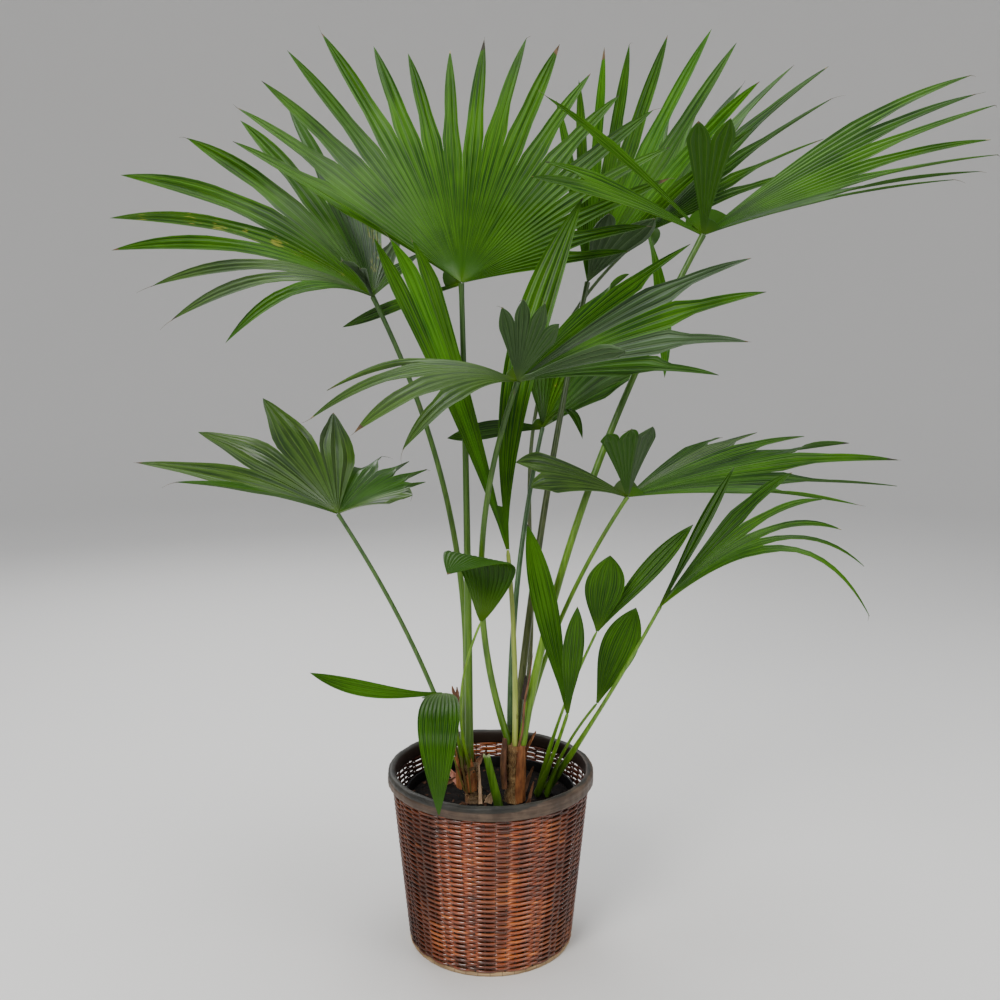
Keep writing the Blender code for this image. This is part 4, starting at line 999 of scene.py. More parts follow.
cone = stalkGrowth.node("GeometryNodeMeshCone", {}, {
    "Vertices": 4, "Radius Bottom": stalkLook["spineFoot"], "Radius Top": 0.0,
    "Depth": stalkGrowth.size("Spine length")})
rise = stalkGrowth.vector(z=stalkGrowth.node("GeometryNodeInputRadius") + stalkLook["spineRise"])
grown = [tube]
for turn in (-1, 1):
    out, sway = turn * math.pi / 2, stalkLook["spineSway"]
    swing = stalkGrowth.chance(out - sway, out + sway, stalkGrowth.size("Seed") + turn)
    facing = stalkGrowth.spun(stalkGrowth.side(dots, "Rotation"), (0.0, 1.0, 0.0), swing)
    spike = stalkGrowth.copies(dots, cone, Rotation=facing)
    spike = stalkGrowth.node("GeometryNodeTranslateInstances", {}, {
        "Instances": spike, "Translation": rise, "Local Space": True})
    grown.append(stalkGrowth.painted(spike, stalkGrowth.size("Spine skin")))
stalkGrowth.end(stalkGrowth.join(*grown))

for leafName, leaf in leaves.items():
    piece = stalkGrowth.run("stem_" + leafName, lineMesh("line_" + leafName, *stalkLine(leaf)), **{
        "Spine top": stalkLook["spineTop" if leaf.get("spines") else "bareTop"],
        "Skin": stalkFinishes[stalkSkins.get(leafName, "green")]})
    softFaces(piece.data, stalkLook["softAngle"])
    settle(piece, "stalk", "stalk_" + leafName)
print("stalks done")

# basket

basket = {"height": 0.277, "rimRadius": 0.160, "rimProud": 0.004, "rimBand": 0.021,
          "footRadius": 0.1285, "footThick": 0.006, "pitch": 0.0039, "tall": 0.0037, "deep": 0.0027,
          "swing": 0.0020, "inset": 0.0032, "columns": 20, "steps": 324, "wander": 0.0011,
          "slowSway": 0.9, "quickSway": 0.45, "wideShare": 0.42, "turnEase": 0.50, "overswing": 1.1,
          "driftScale": (4.0, 4.0, 260.0), "swellScale": (9.0, 410.0), "strandLeast": 0.92,
          "strandSpread": 0.40, "strandSides": 6, "strandAngle": 70,
          "stakes": 54, "stakeRadius": 0.0014, "stakeSides": 8, "stakeTop": 0.004, "stakeAngle": 50,
          "shadeColour": (0.014, 0.006, 0.004), "lowColour": (0.020, 0.010, 0.006)}


def makeWickerFinish(name, dark, mid, light):
    finish = Finish(name, 0.34, Specular_IOR_Level=0.2, Coat_IOR=1.7, Coat_Roughness=0.12)
    place = finish.place()
    x, y, height = finish.axes(place)
    ownStrand = finish.vector(x * 13.0, y * 13.0, finish.attribute("row") * 2.7)
    tint = finish.noise(ownStrand, 1.0, 2.0)
    clouds = finish.noise(place, 11.0, 3.0, 0.55)
    grain = finish.streaks(place, (70.0, 70.0, 1500.0), 2.0, 0.6)
    tone = tint * 0.6 + clouds * 0.5 + grain * 0.18
    base = finish.ramp(tone, 0.44, 0.66, dark, mid)
    base = finish.ramp(tone, 0.64, 0.84, base, light)
    # painted shade: both sides of the basket are darkened, and so are the places where a strand goes in
    sides = finish.ease(x + clouds * 0.05, -0.10, -0.02, 0.78, 0.0) + finish.ease(x, 0.05, 0.13, 0.0, 0.62)
    finish.feed("Coat Weight", (1.0 - sides) * 1.2 - 0.25)
    shade = sides + finish.ease(finish.attribute("proud"), -0.6, 0.3, 0.30, 0.0) * (1.0 - sides)
    bands = finish.streaks(place, (26.0, 26.0, 3.0), 2.0)
    shade = shade + finish.ease(bands, 0.50, 0.64, 0.0, 0.42) * (1.0 - shade)
    base = finish.blend(shade, base, basket["shadeColour"])
    low = finish.ease(height, 0.0, 0.03, 0.35, 0.0)
    finish.feed("Base Color", finish.blend(low, base, basket["lowColour"]))
    finish.feed("Roughness", grain * 0.25 + tint * 0.2 + 0.10)
    finish.bump(grain, 0.35, 0.0004)
    return finish.material


wickerFinish = makeWickerFinish("wicker_red", (0.045, 0.009, 0.002), (0.26, 0.046, 0.006),
                                (0.58, 0.150, 0.022))
stakeFinish = makeDryFinish("wicker_stake", (0.020, 0.009, 0.005), (0.085, 0.034, 0.014), 0.5)

band = basket["height"] - basket["rimBand"]
wallFoot = basket["footRadius"] - basket["inset"]
wallFlare = (basket["rimRadius"] - basket["rimProud"] - basket["footRadius"]) / basket["height"]
firstRow = basket["footThick"] + gap + basket["tall"] / 2
rowCount = int((band - firstRow) / basket["pitch"]) + 1

# rows of strands that pass outside a wide group of stakes and inside the next narrow one, or the other way
# round
weave = Growth("weaveGrowth", {
    "Rows": rowCount, "First row": firstRow, "Row gap": 2 * basket["pitch"], "Steps": basket["steps"],
    "Columns": float(basket["columns"]), "Side": 1.0, "Swing": basket["swing"], "Wander": basket["wander"],
    "Half height": basket["tall"] / 2, "Half depth": basket["deep"] / 2, "Foot radius": wallFoot,
    "Flare": wallFlare, "Skin": wickerFinish})
rowLine = weave.node("GeometryNodeMeshLine", {}, {
    "Count": weave.size("Rows"), "Start Location": weave.vector(z=weave.size("First row")),
    "Offset": weave.vector(z=weave.size("Row gap"))})
rings = weave.copies(rowLine, weave.circle(weave.size("Steps")))
rings = weave.node("GeometryNodeRealizeInstances", {}, {0: rings})
here = weave.node("GeometryNodeInputPosition")
x, y, z = weave.axes(here)
turn = y.maths("ARCTAN2", x)
# groups of stakes of uneven width, as in a basket woven by hand
slow, quick = (turn * 3.0 + 1.0).maths("SINE"), (turn * 7.0).maths("SINE")
phase = turn * weave.size("Columns") + slow * basket["slowSway"] + quick * basket["quickSway"]
wave = phase.maths("COSINE") + basket["wideShare"]
proud = wave / (abs(wave) + basket["turnEase"]) * basket["overswing"] * weave.size("Side")
drift = weave.streaks(here, basket["driftScale"], 2.0)
around, upward = basket["swellScale"]
swell = weave.noise(weave.vector(x * around, y * around, z * upward + 7.0), 1.0, 2.0)
radius = z * weave.size("Flare") + weave.size("Foot radius") + proud * weave.size("Swing")
for label, value in (("row", z / weave.size("Row gap") * 2.0), ("proud", proud)):
    rings = weave.node("GeometryNodeStoreNamedAttribute", {"data_type": "FLOAT", "domain": "POINT"},
                       {"Geometry": rings, "Name": label, "Value": value})
spot = weave.vector(x * radius, y * radius, z + (drift - 0.5) * weave.size("Wander"))
rings = weave.node("GeometryNodeSetPosition", {}, {"Geometry": rings, "Position": spot})
rings = weave.node("GeometryNodeSetCurveNormal", {"mode": "Z_UP"}, {"Curve": rings})
oval = weave.node("GeometryNodeTransform", {}, {
    "Geometry": weave.circle(basket["strandSides"]),
    "Scale": weave.vector(weave.size("Half depth"), weave.size("Half height"), 1.0)})
strands = weave.tube(rings, oval, Scale=swell * basket["strandSpread"] + basket["strandLeast"])
weave.end(weave.painted(strands, weave.size("Skin")))

nothing = makeMesh("nothing", [])
for pick, name in enumerate(("weave_outer", "weave_inner")):
    piece = weave.run(name, nothing, **{
        "Rows": (rowCount + 1 - pick) // 2, "First row": firstRow + pick * basket["pitch"],
        "Side": 1.0 - 2.0 * pick})
    softFaces(piece.data, basket["strandAngle"])
    settle(piece, "wicker", "basket_wall")

# upright stakes between the strands
stakes = Growth("stakeGrowth", {
    "Stakes": basket["stakes"], "Foot": firstRow - basket["tall"] / 2, "Top": band + basket["stakeTop"],
    "Radius": basket["stakeRadius"], "Foot radius": wallFoot, "Flare": wallFlare, "Skin": stakeFinish})
ends = {}
for label, level in (("Start", "Foot"), ("End", "Top")):
    reach = stakes.size(level) * stakes.size("Flare") + stakes.size("Foot radius")
    ends[label] = stakes.vector(reach, 0.0, stakes.size(level))
line = stakes.node("GeometryNodeCurvePrimitiveLine", {}, ends)
stake = stakes.tube(line, stakes.circle(basket["stakeSides"], stakes.size("Radius")), Fill_Caps=True)
spots = stakes.node("GeometryNodeMeshLine", {}, {"Count": stakes.size("Stakes"), "Offset": (0.0, 0.0, 0.0)})
angle = stakes.node("GeometryNodeInputIndex") * math.tau / stakes.size("Stakes")
row = stakes.copies(spots, stake, Rotation=stakes.turned((0.0, 0.0, 1.0), angle))
stakes.end(stakes.painted(row, stakes.size("Skin")))
piece = stakes.run("basket_stakes", nothing)
softFaces(piece.data, basket["stakeAngle"])
settle(piece, "wicker", "basket_wall")
print("weave:", rowCount, "rows")


def turnedMesh(name, profile, steps, shape):
    # closed surface turned about the upright axis from (radius, height) points, which shape moves a little
    # for each turn; a zero radius is one point
    vertices, rings = [], []
    for number, (radius, height) in enumerate(profile):
        if radius == 0.0:
            rings.append([len(vertices)] * (steps + 1))
            vertices.append((0.0, 0.0, height))
            continue
        ring = list(range(len(vertices), len(vertices) + steps))
        rings.append(ring + ring[:1])
        for step in range(steps):
            turn = math.tau * step / steps
            reach, level = shape(number, radius, height, turn)
            vertices.append((reach * math.cos(turn), reach * math.sin(turn), level))
    if profile[0][0] > 0.0:
        rings.append(rings[0])
    faces = []
    for low, high in zip(rings, rings[1:]):
        for a, b, c, d in zip(low, low[1:], high[1:], high):
            faces.append([corner for corner, before in zip((a, b, c, d), (d, a, b, c)) if corner != before])
    return makeMesh(name, vertices, faces)


# rim: a flat split cane outside, a darker rounded one on top, and the long joint where one climbs over the
# other
rim = {"steps": 360, "outer": 13, "seam": 0.0122, "climb": 0.0200, "groove": 0.0009, "grooveWidth": 0.0009,
       "ledge": 0.0003, "ledgeReach": 0.001, "ripple": 0.00025, "fineRipple": 0.0002, "rippleBack": 0.0004,
       "sag": 0.0004, "sagFrom": 0.012, "capEase": 0.0012, "softAngle": 50,
       "joint": (math.radians(-81), math.radians(-58)), "end": (math.radians(20), math.radians(55)),
       "cap": (0.013, 0.013, 0.011), "capLight": (0.038, 0.034, 0.026), "strip": (0.045, 0.028, 0.018),
       "stripLight": (0.110, 0.074, 0.050), "inside": (0.020, 0.011, 0.007)}
# depth behind the rim's outer face and height above its lower edge; the first 14 points face outwards
rimSection = [
    (0.0012, 0.0), (0.0002, 0.0012), (0.0, 0.004), (0.0, 0.008), (0.0, 0.0105), (0.0003, 0.0116),
    (0.0, 0.0128), (0.0, 0.0145), (0.0002, 0.0165), (0.0009, 0.0186), (0.0024, 0.0202), (0.0048, 0.0209),
    (0.0075, 0.0209), (0.0100, 0.0199), (0.0117, 0.0182), (0.0125, 0.0160), (0.0125, 0.010),
    (0.0125, 0.004), (0.0125, 0.0012), (0.0118, 0.0), (0.006, 0.0)]


def seamHeight(turn):
    up, down = (softStep((turn - start) / (stop - start)) for start, stop in (rim["joint"], rim["end"]))
    return between((rim["seam"], rim["climb"]), up - down)


def rimShape(number, radius, height, turn):
    if number > rim["outer"]:
        return radius, height
    turn = turn - math.tau if turn > math.pi else turn
    up = height - band
    above = up - seamHeight(turn)
    dent = rim["groove"] * math.exp(-(above / rim["grooveWidth"]) ** 2)
    ledge = rim["ledge"] * softStep(-above / rim["ledgeReach"]) - rim["ledge"]
    ripple = rim["ripple"] * math.sin(turn * 23.0) + rim["fineRipple"] * math.sin(turn * 61.0 + 2.0)
    sag = rim["sag"] * (1 + math.sin(turn * 17.0)) * (up > rim["sagFrom"])
    return radius - dent + ledge + ripple - rim["rippleBack"], height - sag


rimProfile = [(basket["rimRadius"] - depth, band + up) for depth, up in rimSection]
mesh = turnedMesh("rim", rimProfile, rim["steps"], rimShape)
addColumn(mesh, "cap", [
    softStep((vertex.co.z - band - seamHeight(math.atan2(vertex.co.y, vertex.co.x))) / rim["capEase"] + 0.5)
    for vertex in mesh.vertices])


def makeRimFinish():
    finish = Finish("rim_cane", 0.5, Specular_IOR_Level=0.35)
    place = finish.place()
    x, y, _ = finish.axes(place)
    reach = (x * x + y * y).maths("SQRT")
    blotch = finish.noise(place, 38.0, 4.0, 0.6)
    long = finish.streaks(place, (12.0, 12.0, 420.0), 3.0, 0.6)
    tone = blotch * 0.6 + long * 0.4
    strip = finish.ramp(tone, 0.38, 0.64, rim["strip"], rim["stripLight"])
    top = finish.ramp(tone, 0.38, 0.66, rim["cap"], rim["capLight"])
    base = finish.blend(finish.attribute("cap"), strip, top)
    inside = finish.ease(reach, 0.1480, 0.1500, 1.0, 0.0)
    finish.feed("Base Color", finish.blend(inside, base, rim["inside"]))
    finish.feed("Roughness", tone * 0.4 + 0.30)
    finish.bump(long * 0.7 + blotch * 0.3, 0.5, 0.0005)
    return finish.material


rimPiece = addPiece("rim_cane", mesh, makeRimFinish())
softFaces(mesh, rim["softAngle"])
settle(rimPiece, "rim", "basket_rim")


footLook = {"dark": (0.20, 0.12, 0.05), "light": (0.48, 0.33, 0.17), "split": (0.05, 0.028, 0.014)}


def makeFootFinish():
    finish = Finish("base_cane", 0.55)
    place = finish.place()
    x, y, _ = finish.axes(place)
    turn = y.maths("ARCTAN2", x)
    grain = finish.streaks(place, (25.0, 25.0, 500.0))
    splits = finish.ease(abs((turn * 7.0) % 1.0 - 0.5), 0.46, 0.49, 0.0, 0.8)
    base = finish.ramp(grain, 0.3, 0.7, footLook["dark"], footLook["light"])
    finish.feed("Base Color", finish.blend(splits, base, footLook["split"]))
    finish.feed("Roughness", grain * 0.3 + 0.4)
    finish.bump(grain, 0.4, 0.0005)
    return finish.material


def dress(nodeName, material):
    # a carried-over node keeps its mesh and gets a better finish
    node = bpy.data.objects[nodeName]
    for spot in node.material_slots:
        spot.material = material


dress("basket_base", makeFootFinish())
print("rim and base done")


# grow pot and potting mix

potLook = {"steps": 264, "ribs": 44.0, "ribDeep": 0.0004, "ribbed": (2, 4), "softAngle": 40,
           "dark": (0.0020, 0.0020, 0.0022), "dust": (0.008, 0.007, 0.006)}
bedLook = {"steps": 132, "rings": 30, "lumps": 0.0028, "lumpShare": 0.7, "fineShare": 0.5, "sink": 0.0008,
           "crownFrom": 0.095, "softAngle": 80, "topFrom": 0.215, "crumbs": 15000.0, "crumbSize": 0.0030,
           "crumbFlat": 0.8, "chips": 2200.0, "chipSize": 0.0085, "chipFlat": 0.28,
           "smallest": (0.35, 0.35, 0.3), "largest": (1.3, 1.0, 0.9), "tumble": (0.5, 0.5, 3.1)}


def potRadius(height):
    return pot["footRadius"] + (pot["topRadius"] - pot["footRadius"]) * height / pot["top"]


def potShape(number, radius, height, turn):
    first, last = potLook["ribbed"]
    if first <= number <= last:
        radius = radius - potLook["ribDeep"] - potLook["ribDeep"] * math.cos(turn * potLook["ribs"])
    return radius, height


# half section of the pot: its foot, the wall, the thicker lip and down again inside
potFoot = basket["footThick"] + gap
potFloor = potFoot + pot["wall"]
potLip = pot["topRadius"]
potProfile = [
    (0.0, potFoot), (potRadius(potFoot) - 0.002, potFoot), (potRadius(potFoot + 0.002), potFoot + 0.002),
    (potRadius(0.12), 0.12), (potRadius(0.226) - 0.0012, 0.226), (potLip - 0.0010, 0.2285),
    (potLip, 0.2300), (potLip, 0.2368), (potLip - 0.0010, pot["top"]), (potLip - 0.0032, 0.2374),
    (potLip - 0.0038, 0.2360), (potRadius(0.222) - pot["wall"], 0.222),
    (potRadius(potFloor) - pot["wall"], potFloor), (0.0, potFloor)]
mesh = turnedMesh("pot", potProfile, potLook["steps"], potShape)
softFaces(mesh, potLook["softAngle"])


def makePotFinish():
    finish = Finish("pot_black", 0.5, Specular_IOR_Level=0.25)
    place = finish.place()
    dust = finish.noise(place, 24.0, 4.0, 0.6)
    fine = finish.noise(place, 900.0, 2.0)
    finish.feed("Base Color", finish.ramp(dust, 0.45, 0.75, potLook["dark"], potLook["dust"]))
    finish.feed("Roughness", dust * 0.3 + 0.35)
    finish.bump(fine, 0.2, 0.0002)
    return finish.material


potPiece = addPiece("pot_ribbed", mesh, makePotFinish())
settle(potPiece, "pot", "grow_pot")


bedEdge = potRadius(pot["soilTop"]) - pot["wall"] - gap


def bedHeight(x, y):
    # level of the mix at a place, lumpy and a little higher in the middle
    slope = (bedEdge - math.hypot(x, y)) / (bedEdge - bedLook["crownFrom"])
    level = pot["soilTop"] + pot["soilCrown"] * min(1.0, slope)
    lump = noise.noise(Vector((x * 70.0, y * 70.0, 3.0)))
    lump += bedLook["fineShare"] * noise.noise(Vector((x * 190.0, y * 190.0, 8.0)))
    return level + bedLook["lumps"] * lump * bedLook["lumpShare"] - bedLook["sink"]


def bedShape(number, radius, height, turn):
    if number < 2:
        return radius, height
    return radius, bedHeight(radius * math.cos(turn), radius * math.sin(turn))


bedRadii = [bedEdge * (1.0 - step / bedLook["rings"]) for step in range(bedLook["rings"])]
bedProfile = [(0.0, potFloor + gap), (potRadius(potFloor) - pot["wall"] - gap, potFloor + gap)]
bedProfile += [(radius, 0.0) for radius in bedRadii] + [(0.0, bedHeight(0.0, 0.0))]
bedMesh = turnedMesh("bed", bedProfile, bedLook["steps"], bedShape)
softFaces(bedMesh, bedLook["softAngle"])


def makeBedFinish(name, dark, light, rough=0.95):
    finish = Finish(name, rough, Specular_IOR_Level=0.2)
    place = finish.place()
    clods = finish.noise(place, 90.0, 5.0, 0.65)
    finish.feed("Base Color", finish.ramp(clods, 0.35, 0.7, dark, light))
    finish.bump(clods, 0.8, 0.0015)
    return finish.material


# the mix is painted near black: its own dark brown made darker still as painted shade, for the deep shade it
# lies in
shadedBedFinish = makeBedFinish("mix_dark", (0.0010, 0.0007, 0.0005), (0.008, 0.0045, 0.003))
barkFinish = makeBedFinish("mix_bark", (0.014, 0.006, 0.003), (0.085, 0.036, 0.018), 0.8)
bed = addPiece("mix_bed", bedMesh, shadedBedFinish)
settle(bed, "soil", "potting_mix")

# crumbs and bark chips strewn over the top of the bed
strewn = Growth("strewnGrowth", {"Density": bedLook["crumbs"], "Size": bedLook["crumbSize"],
                                 "Flat": bedLook["crumbFlat"], "Seed": 4, "Skin": shadedBedFinish})
seed, size = strewn.size("Seed"), strewn.size("Size")
dots = strewn.scatter(strewn.host(), strewn.size("Density"), seed)
lump = strewn.node("GeometryNodeMeshIcoSphere", {}, {"Radius": 0.5, "Subdivisions": 1})
tumble = strewn.chance(tuple(-turn for turn in bedLook["tumble"]), bedLook["tumble"], seed)
scaled = strewn.product(strewn.chance(bedLook["smallest"], bedLook["largest"], seed + 1),
                        strewn.vector(size, size, size * strewn.size("Flat")))
tumble = strewn.node("FunctionNodeEulerToRotation", {}, {0: tumble})
heap = strewn.copies(dots, lump, Scale=scaled, Rotation=tumble)
strewn.end(strewn.painted(heap, strewn.size("Skin")))

topFaces = [list(face.vertices) for face in bedMesh.polygons if face.center.z > bedLook["topFrom"]]
topMesh = makeMesh("bedTop", [vertex.co for vertex in bedMesh.vertices], topFaces)
settle(strewn.run("mix_crumbs", topMesh), "soil", "potting_mix")
chipsPiece = strewn.run("mix_chips", topMesh, Density=bedLook["chips"], Size=bedLook["chipSize"],
                        Flat=bedLook["chipFlat"], Seed=11, Skin=barkFinish)
settle(chipsPiece, "soil", "potting_mix")
print("pot and mix done")


# trunks, stump, sheaths and dry pieces

def tubeMesh(name, centres, reachOf, sides, ragged=0.0):
    # closed tube round nearly upright centres, with a ragged top if asked; reachOf gives the radius for a
    # share of the height and a turn
    vertices, faces = [], []
    rows = len(centres)
    for row, centre in enumerate(centres):
        for side in range(sides):
            turn = math.tau * side / sides
            reach = reachOf(row / (rows - 1), turn)
            vertices.append((centre[0] + reach * math.cos(turn), centre[1] + reach * math.sin(turn),
                             centre[2] + ragged * math.sin(3.0 * turn) * (row == rows - 1)))
    for row in range(rows - 1):
        for side in range(sides):
            after = (side + 1) % sides
            a, b = row * sides + side, row * sides + after
            faces.append((a, b, b + sides, a + sides))
    vertices += [centres[0], centres[-1] - np.array([0.0, 0.0, ragged])]
    low, high = len(vertices) - 2, len(vertices) - 1
    for side in range(sides):
        after = (side + 1) % sides
        faces.append((low, after, side))
        faces.append((high, (rows - 1) * sides + side, (rows - 1) * sides + after))
    return makeMesh(name, vertices, faces)


def plateMesh(name, grid, thickness, softAngle=50):
    # closed thin plate over rows of points
    grid = np.array(grid, dtype=float)
    normal = np.cross(np.gradient(grid, axis=1), np.gradient(grid, axis=0))
    normal /= np.linalg.norm(normal, axis=2, keepdims=True) + 1e-12
    rows, columns = grid.shape[:2]
    half = normal * thickness / 2
    points = [*(grid + half).reshape(-1, 3), *(grid - half).reshape(-1, 3)]
    under = rows * columns
    faces = []
    for row in range(rows - 1):
        for column in range(columns - 1):
            a = row * columns + column
            faces.append((a, a + 1, a + columns + 1, a + columns))
            faces.append((a + under, a + columns + under, a + columns + 1 + under, a + 1 + under))
    border = list(range(columns))
    border += [row * columns + columns - 1 for row in range(1, rows)]
    border += [(rows - 1) * columns + column for column in range(columns - 2, -1, -1)]
    border += [row * columns for row in range(rows - 2, 0, -1)]
    for a, b in zip(border, border[1:] + border[:1]):
        faces.append((a, a + under, b + under, b))
    mesh = makeMesh(name, points, faces)
    softFaces(mesh, softAngle)
    return mesh


def makeBarkFinish(name, dark, mid, light, smooth, sheathSide):
    # hairy ringed bark on one side and a smooth dry sheath on the other
    finish = Finish(name, 0.8)
    place = finish.place()
    side = finish.attribute("sheath")
    hair = finish.streaks(place, (420.0, 420.0, 160.0), 4.0, 0.7)
    strand = finish.streaks(place, (520.0, 520.0, 22.0), 3.0, 0.6)
    patch = finish.noise(place, 60.0)
    tone = hair * 0.65 + patch * 0.35
    rough = finish.ramp(tone, 0.36, 0.50, dark, mid)
    rough = finish.ramp(tone, 0.50, 0.66, rough, light)
    sheath = finish.ramp(strand * 0.6 + patch * 0.4, 0.36, 0.66, smooth, sheathSide)
    finish.feed("Base Color", finish.blend(side, rough, sheath))
    finish.feed("Roughness", hair * 0.2 + 0.65)
    finish.bump(hair * (1.0 - side) + strand * side * 0.6, 0.9, 0.0012)
    return finish.material


barkFinishes = {
    "main": makeBarkFinish("bark_main", (0.070, 0.030, 0.012), (0.27, 0.15, 0.055), (0.60, 0.40, 0.18),
                           (0.185, 0.056, 0.016), (0.36, 0.135, 0.040)),
    "left": makeBarkFinish("bark_left", (0.030, 0.014, 0.007), (0.10, 0.060, 0.024), (0.26, 0.17, 0.075),
                           (0.060, 0.026, 0.010), (0.17, 0.075, 0.028)),
}
hairFinish = makeDryFinish("hair_straw", (0.09, 0.045, 0.016), (0.50, 0.33, 0.15), 0.75)
sheathFinish = makeDryFinish("sheath_dry", (0.165, 0.052, 0.016), (0.37, 0.135, 0.042), 0.6)
chipFinishes = {"red": makeDryFinish("chip_red", (0.20, 0.065, 0.040), (0.50, 0.20, 0.13), 0.7),
                "tan": makeDryFinish("chip_tan", (0.33, 0.20, 0.11), (0.66, 0.45, 0.28), 0.7),
                "brown": makeDryFinish("chip_brown", (0.075, 0.028, 0.013), (0.22, 0.095, 0.042), 0.7),
                "black": makeDryFinish("chip_black", (0.006, 0.005, 0.004), (0.030, 0.020, 0.012), 0.7)}

# short curved hairs over the hairy side
hairLook = {"length": 0.0065, "thick": 0.00020, "density": {"main": 90000.0, "left": 60000.0},
            "lengths": (0.4, 1.5), "turn": 3.1}
hairs = Growth("hairGrowth", {"Density": hairLook["density"]["main"], "Length": hairLook["length"],
                              "Thick": hairLook["thick"], "Seed": 3, "Skin": hairFinish})
bare = hairs.attribute("sheath")
dots = hairs.scatter(hairs.host(), (1.0 - bare) * hairs.size("Density"), hairs.size("Seed"))
hair = hairs.node("GeometryNodeCurvePrimitiveBezierSegment", {"mode": "POSITION"}, {
    "Resolution": 4, "Start": (0.0, 0.0, -0.0005), "Start Handle": (0.0, 0.0, 0.0025),
    "End Handle": (0.0032, 0.0005, 0.0030), "End": (hairLook["length"], 0.0, 0.0020)})
hair = hairs.tube(hair, hairs.circle(3, hairs.size("Thick")))
swing = hairs.chance(-hairLook["turn"], hairLook["turn"], hairs.size("Seed"))
facing = hairs.spun(hairs.side(dots, "Rotation"), (0.0, 0.0, 1.0), swing)
longer = hairs.chance(*hairLook["lengths"], hairs.size("Seed") + 1)
longer = longer * (hairs.size("Length") / hairLook["length"])
hairs.end(hairs.painted(hairs.copies(dots, hair, Rotation=facing, Scale=longer), hairs.size("Skin")))

trunkLook = {"rows": 44, "sides": 56, "knots": np.array([0.0, 0.22, 0.6, 1.0]), "sink": 0.004,
             "inset": 0.0008, "slim": {"main": 0.85, "left": 1.0}, "ring": 0.0052, "ringDeep": 0.0007,
             "ringSway": 1.5, "ruffle": 0.0011, "ruffleScale": (3.0, 240.0), "coarse": 0.07,
             "coarseScale": (1.6, 40.0), "sheathTurn": {"main": math.radians(-12), "left": math.radians(170)},
             "sheathHalf": 0.9, "sheathEase": 0.35, "sheathProud": 0.0012, "softAngle": 60}


def sheathShare(clump, turn):
    # 1 where a smooth sheath covers the stem, 0 where it is hairy
    away = abs((turn - trunkLook["sheathTurn"][clump] + math.pi) % math.tau - math.pi)
    return 1.0 - softStep((away - trunkLook["sheathHalf"]) / trunkLook["sheathEase"])


def barkNoise(turn, level, around, upward, shift=0.0):
    return noise.noise(Vector((math.cos(turn) * around, math.sin(turn) * around, level * upward + shift)))


def barkReach(clump, share, turn):
    trunk, plain = trunks[clump], sheathShare(clump, turn)
    sizes = np.array([trunk["footRadius"], trunk["waistRadius"], trunk["waistRadius"], trunk["topRadius"]])
    body = smoothRow(trunkLook["knots"], sizes, min(max(share, 0.001), 0.999))
    level = share * trunk["height"]
    ruffle = barkNoise(turn, level, *trunkLook["ruffleScale"])
    coarse = barkNoise(turn, level, *trunkLook["coarseScale"], 5.0)
    rings = math.sin(level / trunkLook["ring"] * math.tau + trunkLook["ringSway"] * math.sin(turn * 2.0))
    rough = trunkLook["ringDeep"] * rings + trunkLook["ruffle"] * ruffle
    body = body * trunkLook["slim"][clump] * (0.97 + trunkLook["coarse"] * coarse)
    return body + rough * (1.0 - plain) + trunkLook["sheathProud"] * plain - trunkLook["inset"]


bedTop = pot["soilTop"] + pot["soilCrown"]
for clump, trunk in trunks.items():
    foot = np.array([*trunk["foot"], bedTop + gap])
    top = np.array([*trunk["top"], bedTop + gap + trunk["height"]])
    middles = [between((foot, top), share) for share in np.linspace(0.0, 1.0, trunkLook["rows"])]
    middles[0][2] -= trunkLook["sink"]
    mesh = tubeMesh("trunk_" + clump, middles, lambda share, turn: barkReach(clump, share, turn),
                    trunkLook["sides"])
    turns = [math.atan2(vertex.co.y - foot[1], vertex.co.x - foot[0]) for vertex in mesh.vertices]
    addColumn(mesh, "sheath", [sheathShare(clump, turn) for turn in turns])
    piece = addPiece("bark_" + clump, mesh, barkFinishes[clump])
    softFaces(mesh, trunkLook["softAngle"])
    settle(piece, "fibre", "trunk_" + clump)
    settle(hairs.run("hair_" + clump, mesh, Density=hairLook["density"][clump]), "fibre", "trunk_" + clump)


sheathLook = {"rows": 16, "columns": 9, "point": 2.2, "least": 0.03, "ripple": 0.0006, "droop": 0.004,
              "thick": 0.0009}


def sheathGrid(centre, turn, half, low, high, reach, lift):
    # rows of points of a sheath that hugs a clump and runs up to a point
    rows, columns = sheathLook["rows"], sheathLook["columns"]
    grid = []
    for row in range(rows):
        share = row / (rows - 1)
        narrow = half * (1.0 - share ** sheathLook["point"]) + sheathLook["least"]
        line = []
        for column in range(columns):
            offset = 2.0 * column / (columns - 1) - 1.0
            ownTurn = turn + narrow * offset
            own = reach + lift * share ** 2 + sheathLook["ripple"] * math.sin(column * 2.1 + row * 0.7)
            level = between((low, high), share) - sheathLook["droop"] * abs(offset) * share
            line.append((centre[0] + own * math.cos(ownTurn), centre[1] + own * math.sin(ownTurn), level))
        grid.append(line)
    return grid


